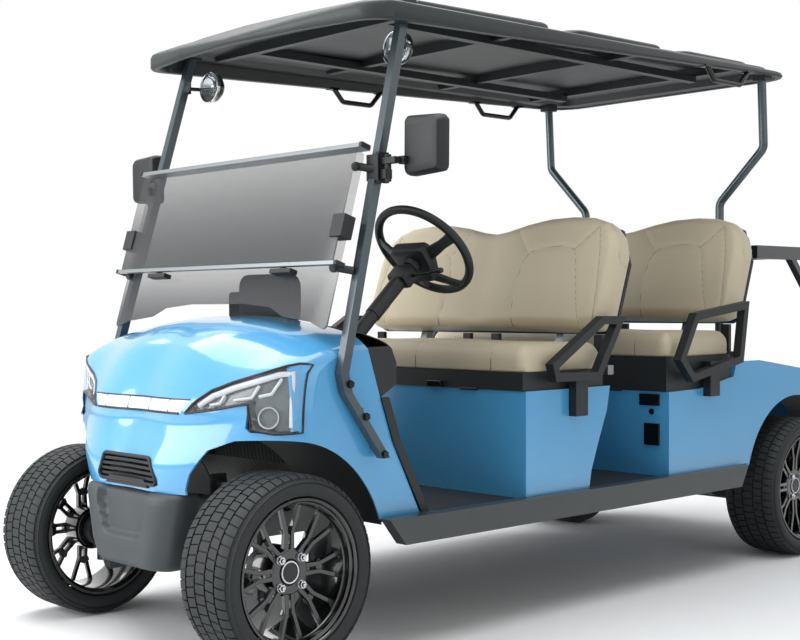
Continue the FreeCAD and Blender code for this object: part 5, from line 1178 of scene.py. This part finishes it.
SCREEN_LEAN = math.radians(16.8)
SCREEN_HINGE = Vector((0, -1.060, 1.385))
SCREEN_HALF = 0.508
RAIL_HALF = 0.524
PANE_SPAN = (0.007, 0.330)
KNOB_PROFILE = ((0.0, 0.0), (0.0, 0.013), (-0.012, 0.012), (-0.014, 0.0))
# Place across and depth of both ends of a knob's post
KNOB_POST = ((0.492, 0.002), (0.532, 0.035))
# Share of the half width, and height of the lower pane's lower edge there
LOWER_EDGE = ((-1.0, 0.888), (-0.86, 0.913), (-0.62, 0.927), (-0.5, 0.953), (-0.25, 0.964), (0.25, 0.964),
              (0.5, 0.953), (0.62, 0.927), (0.86, 0.913), (1.0, 0.888))


def on_screen(x, down, out):
    """Place on the leaning screen: across, down its slope from the hinge, and rearward of its face."""
    y = out * math.cos(SCREEN_LEAN) - down * math.sin(SCREEN_LEAN)
    z = -out * math.sin(SCREEN_LEAN) - down * math.cos(SCREEN_LEAN)
    return SCREEN_HINGE + Vector((x, y, z))


def slab_on_screen(form, outline, near, far):
    """Slab of an outline on the screen, between two depths."""
    return form.add_prism(outline, lambda a, b: on_screen(a, b, near), lambda a, b: on_screen(a, b, far))


def block_on_screen(form, middle, half, span, near, far):
    """Rectangular slab: its middle and half width across, its span down the slope, and two depths."""
    x0, x1, d0, d1 = middle - half, middle + half, *span
    return slab_on_screen(form, [(x0, d0), (x1, d0), (x1, d1), (x0, d1)], near, far)


class GOLFCART_OT_windscreen(bpy.types.Operator):
    """Folding windscreen with its rails and fittings"""
    bl_idname = "golfcart.windscreen"
    bl_label = "Windscreen"

    def execute(self, context):
        foot = [(a * SCREEN_HALF, (SCREEN_HINGE.z - z) / math.cos(SCREEN_LEAN)) for a, z in LOWER_EDGE]
        top = PANE_SPAN[0]
        outline = rounded_outline(foot + [(SCREEN_HALF, top), (-SCREEN_HALF, top)], 0.02, 3)
        lower = slab_on_screen(Form(), outline, 0.0, 0.005)
        made = lower.piece("pane_lower", "pane_lower", bevel_mm=0.6, segments=1, slot="pane")
        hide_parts("windscreen_panes")
        upper = block_on_screen(Form(), 0, SCREEN_HALF, PANE_SPAN, -0.029, -0.024)
        upper.piece("pane_upper", "pane_upper", bevel_mm=0.6, segments=1, slot="pane")
        rails = block_on_screen(Form(), 0, RAIL_HALF, (-0.006, 0.0068), -0.031, 0.007)
        block_on_screen(rails, 0, RAIL_HALF, (0.3302, 0.342), -0.033, -0.020)
        made = rails.piece("screen_rails", "extrusion", bevel_mm=1.5, slot="bare_alloy")
        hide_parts("windscreen_rails")
        self.fittings()
        return {"FINISHED"}

    def fittings(self):
        """End caps of the rails, clips, hooks, and the knobs on their short posts."""
        form = Form()
        for side in (-1, 1):
            for down in (0.3302, -0.006):
                block_on_screen(form, side * RAIL_HALF, 0.006, (down - 0.0005, down + 0.0125), -0.034, 0.0)
            for middle, half, span, near, far in ((0.500, 0.024, (0.198, 0.262), -0.034, 0.008),
                                                  (0.300, 0.045, (0.347, 0.360), -0.032, -0.004),
                                                  (0.300, 0.006, (0.340, 0.350), -0.028, -0.010)):
                block_on_screen(form, side * middle, half, span, near, far)
            for down in (0.05, 0.34):
                form.add_tube([on_screen(side * across, down, out) for across, out in KNOB_POST], 0.011, 14)
                form.add_spun(KNOB_PROFILE, 16,
                              frame_at(on_screen(side * 0.492, down, -0.0005), (0, 1, 0.3), (0, 0, 1)))
        form.piece("screen_fittings", "black", bevel_mm=1.2, slot="trim_black")


# Steering wheel with its padded hub, the column's switch box, and the stalk

WHEEL_MIDDLE = Vector((0.265, -0.575, 1.127))
WHEEL_TILT = math.radians(42)
WHEEL_PLACE = frame_at(WHEEL_MIDDLE, (1, 0, 0), (0, math.cos(WHEEL_TILT), math.sin(WHEEL_TILT)))
RING_RADIUS, RING_THICK = 0.163, 0.0135
SPOKE_ANGLES = (-18, 198, 62, 118)
# Share of a spoke's length, half width and height of its middle, and the section they carry
SPOKE_STATIONS = ((0.0, 0.026, -0.046), (0.35, 0.022, -0.040), (0.7, 0.017, -0.020), (1.0, 0.020, -0.002))
SPOKE_SECTION = ((-1, -0.004), (-0.8, 0.005), (0.8, 0.005), (1, -0.004), (0.8, -0.008), (-0.8, -0.008))
HUB_PAD = ((-0.074, -0.046), (-0.060, -0.056), (0.060, -0.056), (0.074, -0.046), (0.070, 0.010),
           (0.046, 0.070), (0.034, 0.078), (-0.034, 0.078), (-0.046, 0.070), (-0.070, 0.010))
HUB_LEVELS = ((0.74, -0.070), (0.92, -0.066), (1.0, -0.056), (1.0, -0.034), (0.94, -0.026), (0.80, -0.022),
              (0.30, -0.019))
SWITCH_BOX = ((-0.038, -0.026), (0.038, -0.026), (0.038, 0.026), (-0.038, 0.026))
SWITCH_BOX_LEVELS = ((0.86, -0.152), (1.0, -0.145), (1.0, -0.100), (0.9, -0.094))
# Lower end, upper end and radius of the column and of its sleeve
COLUMN_TUBES = ((-0.50, -0.088, 0.0215), (-0.30, -0.145, 0.0245))


def level_rings(outline, levels):
    """Outline in X and Y, scaled by a share at the height of each level."""
    return [[Vector((a * share, b * share, z)) for a, b in outline] for share, z in levels]


def steering_wheel_form():
    """Thick ring, four flat spokes that rise to it, and a deep padded hub."""
    form = Form()
    form.add_tube([(a, b, 0) for a, b in polygon(RING_RADIUS, 96)], RING_THICK, 16, closed=True)
    for angle in SPOKE_ANGLES:
        a = math.radians(angle)
        out, across = Vector((math.cos(a), math.sin(a), 0)), Vector((-math.sin(a), math.cos(a), 0))
        rows = []
        for share, width, low in SPOKE_STATIONS:
            middle = out * (0.045 + share * 0.116) + Vector((0, 0, low))
            rows.append([middle + across * (width * s) + Vector((0, 0, h)) for s, h in SPOKE_SECTION])
        form.add_grid(rows, closed_columns=True)
    form.add_rings(level_rings(rounded_outline(HUB_PAD, 0.016, 3), HUB_LEVELS), ((0, 0), (-1, 0)))
    form.add_spun([(-0.070, 0.0), (-0.070, 0.030), (-0.086, 0.026), (-0.090, 0.0)], 28,
                  Matrix.Rotation(-math.pi / 2, 4, "Y"))
    return form.moved(WHEEL_PLACE)


def column_form():
    """Column tube with its sleeve, and the switch box."""
    form = Form()
    for low, high, radius in COLUMN_TUBES:
        form.add_tube([WHEEL_PLACE @ Vector((0, 0, z)) for z in (low, high)], radius, 28)
    box = level_rings(rounded_outline(SWITCH_BOX, 0.008, 3), SWITCH_BOX_LEVELS)
    return form.joined(Form().add_rings(box, ((0, 0), (-1, 0))).moved(WHEEL_PLACE))


class GOLFCART_OT_steering(bpy.types.Operator):
    """Steering wheel, column, switch box and stalk"""
    bl_idname = "golfcart.steering"
    bl_label = "Steering"

    def execute(self, context):
        made = steering_wheel_form().piece("wheel_of_steering", "black", "steering_wheel", 0.8, 1, smooth=50,
                                           slot="trim_black")
        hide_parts("steering_wheel")
        made = column_form().piece("column_shroud", "black", bevel_mm=0.8, smooth=40, slot="trim_black")
        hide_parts("steering_column")
        stalk = Form()
        places = ((0.036, 0, -0.122), (0.085, -0.003, -0.118), (0.145, -0.006, -0.108))
        line = [WHEEL_PLACE @ Vector(p) for p in places]
        stalk.add_tube(line, 0.0045, 12)
        knob = [(-0.012, 0.0), (-0.011, 0.006), (0.0, 0.009), (0.011, 0.0075), (0.015, 0.0)]
        stalk.add_spun(knob, 20, frame_at(line[-1], line[-1] - line[-2], (0, 0, 1)))
        stalk.piece("column_stalk", "gloss", smooth=60, slot="gloss_black")
        return {"FINISHED"}


# Mirrors on double-arm brackets, and the round lamps at the pillars' tops

PILLAR_KNEE, PILLAR_TOP = 0.827, 1.790
MIRROR_OUTLINE = ((0.588, 1.306), (0.720, 1.314), (0.722, 1.452), (0.708, 1.466), (0.600, 1.472),
                  (0.590, 1.464))
MIRROR_MIDDLE = Vector((0.655, 0, 1.388))
MIRROR_LEVELS = ((0.72, -1.000), (0.90, -0.996), (0.97, -0.988), (1.0, -0.975), (1.0, -0.957),
                 (0.985, -0.952), (0.955, -0.952), (0.945, -0.956))
# Profiles of (along, radius) of a pillar lamp: cup, bright rim, reflector, lens
LAMP_CUP = ((-0.004, 0.0), (0.0, 0.030), (0.016, 0.046), (0.034, 0.051), (0.040, 0.052))
LAMP_RIM = ((0.034, 0.0525), (0.043, 0.053), (0.045, 0.050), (0.043, 0.047), (0.036, 0.046))
LAMP_REFLECTOR = ((0.036, 0.046), (0.020, 0.034), (0.012, 0.018), (0.010, 0.0))
LAMP_LENS = ((0.040, 0.0465), (0.043, 0.030), (0.044, 0.0))


def pillar_at(z):
    """Middle of the left front pillar at a height above its knee."""
    share = (z - PILLAR_KNEE) / (PILLAR_TOP - PILLAR_KNEE)
    return Vector((0.546 - 0.046 * share, -1.172 + 0.274 * share, z))


def mirror_form():
    """Housing with soft corners that narrows to its back, its glass and the bracket."""
    outline = rounded_outline(MIRROR_OUTLINE, 0.016, 3)
    centre = (MIRROR_MIDDLE.x, MIRROR_MIDDLE.z)
    rings = [scaled_ring(outline, centre, *level) for level in MIRROR_LEVELS]
    form = Form().add_rings(rings, ((0, 0), (-1, 1)))
    hold = pillar_at(1.335)
    form.add_box((hold.x + 0.0150, hold.y - 0.020, 1.290), (hold.x + 0.027, hold.y + 0.020, 1.374))
    form.add_box((hold.x - 0.018, hold.y - 0.024, 1.296), (hold.x + 0.027, hold.y - 0.0155, 1.368))
    form.add_box((hold.x + 0.025, hold.y - 0.013, 1.300), (hold.x + 0.046, hold.y + 0.013, 1.326))
    form.add_box((hold.x + 0.025, hold.y - 0.011, 1.340), (0.600, hold.y + 0.011, 1.358))
    form.add_box((0.592, -0.985, 1.338), (0.612, hold.y + 0.012, 1.360))
    form.add_tube([(hold.x + 0.042, hold.y, z) for z in (1.292, 1.366)], 0.0095, 14)
    return form


def pillar_lamp_form():
    """Small round lamp: black cup, bright rim and reflector, on a bent foot from the pillar."""
    post = pillar_at(1.690)
    middle = Vector((post.x - 0.066, post.y + 0.098, 1.690))
    place = frame_at(middle, (0, -1, 0.05), (0, 0, 1))
    form = Form().add_spun(LAMP_CUP, 36, place)
    form.add_tube([middle + Vector((0, -0.012, 0)), Vector((post.x - 0.016, post.y + 0.062, 1.690)),
                   Vector((post.x, post.y + 0.016, 1.690))], 0.0065, 10)
    form.add_box((post.x - 0.013, post.y + 0.015, 1.672), (post.x + 0.013, post.y + 0.021, 1.708))
    form.add_spun(LAMP_RIM, 36, place, 1, True)
    form.add_spun(LAMP_REFLECTOR, 36, place, 1)
    form.add_spun(LAMP_LENS, 36, place, 2)
    return form


class GOLFCART_OT_mirrors(bpy.types.Operator):
    """Side mirrors and pillar lamps"""
    bl_idname = "golfcart.mirrors"
    bl_label = "Mirrors and pillar lamps"

    def execute(self, context):
        parts = ((mirror_form(), "side_mirror_", ("black", "mirror"), "side_mirrors"),
                 (pillar_lamp_form(), "pillar_lamp_", ("gloss", "chrome", "lens"), "pillar_lamps"))
        for side, word in SIDES:
            for form, name, finishes, node in parts:
                made = form.on_side(side).piece(name + word, finishes, bevel_mm=0.8, segments=1, smooth=45,
                                                slot="gloss_black")
                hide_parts(node)
        return {"FINISHED"}


# Small fittings: display pod, charge port and lock, pedal ribs, seat latch, pillar bolts

POD_CORNERS = ((-0.058, 0.900), (0.178, 0.900), (0.178, 1.052), (-0.058, 1.052))
POD_CENTRE = (0.060, 0.976)
# Levels of (share, depth) of the grey shell that faces forward, and of the black one towards the driver
POD_LEVELS = (((0.90, -1.058), (0.97, -1.055), (1.0, -1.046), (1.0, -1.030)),
              ((1.004, -1.0295), (1.004, -1.012), (0.96, -1.003), (0.90, -1.001)))
# Width, foot and top of the two plates of the charge port and lock
PORT_PLATES = ((0.06, 0.470, 0.545), (0.08, 0.606, 0.646))
LOCK_PROFILE = ((0.0, 0.0), (0.0, 0.011), (0.004, 0.010), (0.005, 0.004), (0.005, 0.0))
# Middle and width of each pedal's pad
PEDAL_PADS = ((0.300, 0.055), (0.170, 0.07))
PILLAR_BOLT_SHARES = (0.12, 0.5, 0.95)


class GOLFCART_OT_fittings(bpy.types.Operator):
    """Display pod, charge port, key lock, pedal ribs, seat latch and pillar bolts"""
    bl_idname = "golfcart.fittings"
    bl_label = "Small fittings"

    def execute(self, context):
        self.pod()
        port = Form()
        for width, low, high in PORT_PLATES:
            port.add_box((0.520 - width, 0.316, low), (0.520, 0.3235, high))
        port.add_spun(LOCK_PROFILE, 24, frame_at((0.487, 0.3232, 0.585), (0, -1, 0), (0, 0, 1)))
        port.piece("charge_port_and_lock", "gloss", bevel_mm=1.2, smooth=50, slot="gloss_black")
        pads = Form()
        for x, width in PEDAL_PADS:
            for k in range(5):
                z = 0.395 + 0.013 * k
                pads.add_box((x - width / 2, -0.8905, z), (x + width / 2, -0.8865, z + 0.007))
        pads.piece("pedal_ribs", "black", bevel_mm=0.8, slot="trim_black")
        latch = Form().add_box((0.160, -0.452, 0.6935), (0.220, -0.4402, 0.713))
        latch.piece("seat_latch", "gloss", "seat_front", bevel_mm=2, slot="gloss_black")
        bolts = Form()
        for share in PILLAR_BOLT_SHARES:
            y, z = -1.185 + 0.140 * share, 0.775 - 0.235 * share
            for side in (-1, 1):
                place = frame_at((side * (0.559 + 0.014 * share), y, z), (0, 0, 1), (side, 0, 0))
                hex_bolt(bolts, place, 0.018, 0.006)
        bolts.piece("pillar_bolts", "gloss", smooth=30, slot="gloss_black")
        return {"FINISHED"}

    def pod(self):
        """Display housing behind the screen, in two shells."""
        outline = rounded_outline(POD_CORNERS, 0.042, 6)
        form = Form()
        for mark, levels in enumerate(POD_LEVELS):
            rings = [scaled_ring(outline, POD_CENTRE, *level) for level in levels]
            form.add_rings(rings, ((0, mark), (-1, mark)), mark)
        form.piece("display_pod", ("bumper", "black"), smooth=45, slot="trim_black")


class GOLFCART_OT_finishes(bpy.types.Operator):
    """Give every CAD piece the finish of the real one, and round the edges that show"""
    bl_idname = "golfcart.finishes"
    bl_label = "Finishes"

    def execute(self, context):
        for finish, bevel_mm, nodes in NODE_FINISHES:
            for node in nodes.split():
                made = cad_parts[node]
                made.data.materials.clear()
                made.data.materials.append(finish_of(finish))
                if bevel_mm:
                    add_bevel(made, bevel_mm)
        return {"FINISHED"}


class GOLFCART_OT_stage(bpy.types.Operator):
    """Floor, soft lamps, pale surroundings and the camera at the photograph's angle"""
    bl_idname = "golfcart.stage"
    bl_label = "Stage"

    def execute(self, context):
        sizes = context.scene.golf_cart
        make_floor()
        make_lamps(sizes)
        make_surroundings(sizes)
        make_camera()
        context.scene.view_settings.view_transform = "Standard"
        return {"FINISHED"}


FLOOR_REACH = 30
# Distance from the cart's middle where the floor starts to fade to white, and where it has
FADE_START, FADE_END = 2.3, 4.4


def make_floor():
    """Pale matt floor, which takes the cart's shadow."""
    corners = [(-FLOOR_REACH, -FLOOR_REACH, 0), (FLOOR_REACH, -FLOOR_REACH, 0), (FLOOR_REACH, FLOOR_REACH, 0),
               (-FLOOR_REACH, FLOOR_REACH, 0)]
    mesh = bpy.data.meshes.new("studio_floor")
    mesh.from_pydata(corners, [], [(0, 1, 2, 3)])
    made = bpy.data.objects.new("studio_floor", mesh)
    bpy.context.scene.collection.objects.link(made)
    finish, tree, shader = new_finish("Painted studio floor, matt white", "#f6f7f8", 0.9)
    tint(tree, shader, noise_of(tree, 400.0), "#f4f5f6", "#f8f9fa")
    centre = add_node(tree, "ShaderNodeTexCoord")
    radius = add_node(tree, "ShaderNodeVectorMath", {0: centre.outputs["Object"]}, operation="LENGTH")
    far = add_node(tree, "ShaderNodeMapRange", {"Value": radius.outputs["Value"], "From Min": FADE_START,
                                                "From Max": FADE_END})
    seen = add_node(tree, "ShaderNodeLightPath")
    share = add_node(tree, "ShaderNodeMath", {0: far.outputs["Result"], 1: seen.outputs["Is Camera Ray"]},
                     operation="MULTIPLY")
    glow = add_node(tree, "ShaderNodeEmission", {"Color": (1.0, 1.0, 1.0, 1.0), "Strength": 1.0})
    blend = add_node(tree, "ShaderNodeMixShader", {0: share.outputs[0], 1: shader.outputs[0],
                                                   2: glow.outputs[0]})
    tree.links.new(blend.outputs[0], tree.nodes["Material Output"].inputs["Surface"])
    mesh.materials.append(finish)


def make_lamps(sizes):
    """Large soft lamps: one over the cart, one before its front and a weak one beside it."""
    for name, place, target, width, height, power in (
            ("lamp_top", (-0.6, -0.8, 5.2), (0, 0, 0.6), 7.0, 6.0, sizes.top_light),
            ("lamp_front", (-2.4, -6.2, 2.6), (0, -0.6, 0.8), 5.0, 3.6, sizes.front_light),
            ("lamp_side", (6.4, 0.6, 2.6), (0, 0.2, 0.8), 5.0, 3.0, sizes.side_light)):
        lamp = bpy.data.lights.new(name, "AREA")
        lamp.shape = "RECTANGLE"
        lamp.size = width
        lamp.size_y = height
        lamp.energy = power
        made = bpy.data.objects.new(name, lamp)
        made.location = place
        made.rotation_euler = (Vector(target) - Vector(place)).to_track_quat("-Z", "Y").to_euler()
        bpy.context.scene.collection.objects.link(made)


def make_surroundings(sizes):
    """White where the camera or a mirror sees it, and a low even light for the rest."""
    world = bpy.data.worlds.new("Studio")
    bpy.context.scene.world = world
    world.use_nodes = True
    tree = world.node_tree
    seen = add_node(tree, "ShaderNodeLightPath")
    first = add_node(tree, "ShaderNodeMath", {0: seen.outputs["Is Camera Ray"],
                                              1: seen.outputs["Is Glossy Ray"]}, operation="MAXIMUM")
    both = add_node(tree, "ShaderNodeMath", {0: first.outputs[0], 1: seen.outputs["Is Transmission Ray"]},
                    operation="MAXIMUM")
    level = add_node(tree, "ShaderNodeMapRange", {"Value": both.outputs[0], "To Min": sizes.world_light,
                                                  "To Max": 1.0})
    backdrop = tree.nodes["Background"]
    backdrop.inputs["Color"].default_value = (1.0, 1.0, 1.0, 1.0)
    tree.links.new(level.outputs["Result"], backdrop.inputs["Strength"])


# Solved from the photograph: place in metres, turn in degrees, lens in mm and its shift

CAMERA_PLACE = (3.1372, -3.5952, 0.9563)
CAMERA_YAW, CAMERA_PITCH, CAMERA_ROLL = -49.27, -1.84, -0.373
CAMERA_LENS, CAMERA_SENSOR = 59.82, 36.0
CAMERA_SHIFT = (0.1363, 0.0358)


def make_camera():
    """The photograph's own viewpoint, found from the wheels and the roof."""
    yaw, pitch, roll = (math.radians(angle) for angle in (CAMERA_YAW, CAMERA_PITCH, CAMERA_ROLL))
    ahead = Vector((math.sin(yaw) * math.cos(pitch), math.cos(yaw) * math.cos(pitch), math.sin(pitch)))
    level = Vector((math.cos(yaw), -math.sin(yaw), 0))
    upward = level.cross(ahead)
    across = level * math.cos(roll) + upward * math.sin(roll)
    top = upward * math.cos(roll) - level * math.sin(roll)
    camera = bpy.data.cameras.new("camera")
    camera.lens = CAMERA_LENS
    camera.sensor_width = CAMERA_SENSOR
    camera.shift_x, camera.shift_y = CAMERA_SHIFT
    made = bpy.data.objects.new("camera", camera)
    rows = [[across[i], top[i], -ahead[i], CAMERA_PLACE[i]] for i in range(3)]
    made.matrix_world = Matrix(rows + [[0, 0, 0, 1]])
    bpy.context.scene.collection.objects.link(made)
    bpy.context.scene.camera = made


OPERATORS = (GOLFCART_OT_finishes, GOLFCART_OT_tyres, GOLFCART_OT_rims, GOLFCART_OT_upholstery,
             GOLFCART_OT_roof, GOLFCART_OT_front_end, GOLFCART_OT_windscreen, GOLFCART_OT_steering,
             GOLFCART_OT_mirrors, GOLFCART_OT_fittings, GOLFCART_OT_stage)


class GOLFCART_PT_panel(bpy.types.Panel):
    """Values of the golf cart's looks, and a button for each group of pieces"""
    bl_label = "Golf cart"
    bl_idname = "GOLFCART_PT_panel"
    bl_space_type = "VIEW_3D"
    bl_region_type = "UI"
    bl_category = "Golf cart"

    def draw(self, context):
        for name in context.scene.golf_cart.bl_rna.properties.keys():
            if name not in ("rna_type", "name"):
                self.layout.prop(context.scene.golf_cart, name)
        for operator in OPERATORS:
            self.layout.operator(operator.bl_idname)


CLASSES = (GolfCartSizes,) + OPERATORS + (GOLFCART_PT_panel,)


def register():
    for made in CLASSES:
        bpy.utils.register_class(made)
    bpy.types.Scene.golf_cart = bpy.props.PointerProperty(type=GolfCartSizes)


def unregister():
    del bpy.types.Scene.golf_cart
    for made in reversed(CLASSES):
        bpy.utils.unregister_class(made)


def main():
    register()
    for operator in OPERATORS:
        group, name = operator.bl_idname.split(".")
        getattr(getattr(bpy.ops, group), name)()


if __name__ == "__main__":
    main()
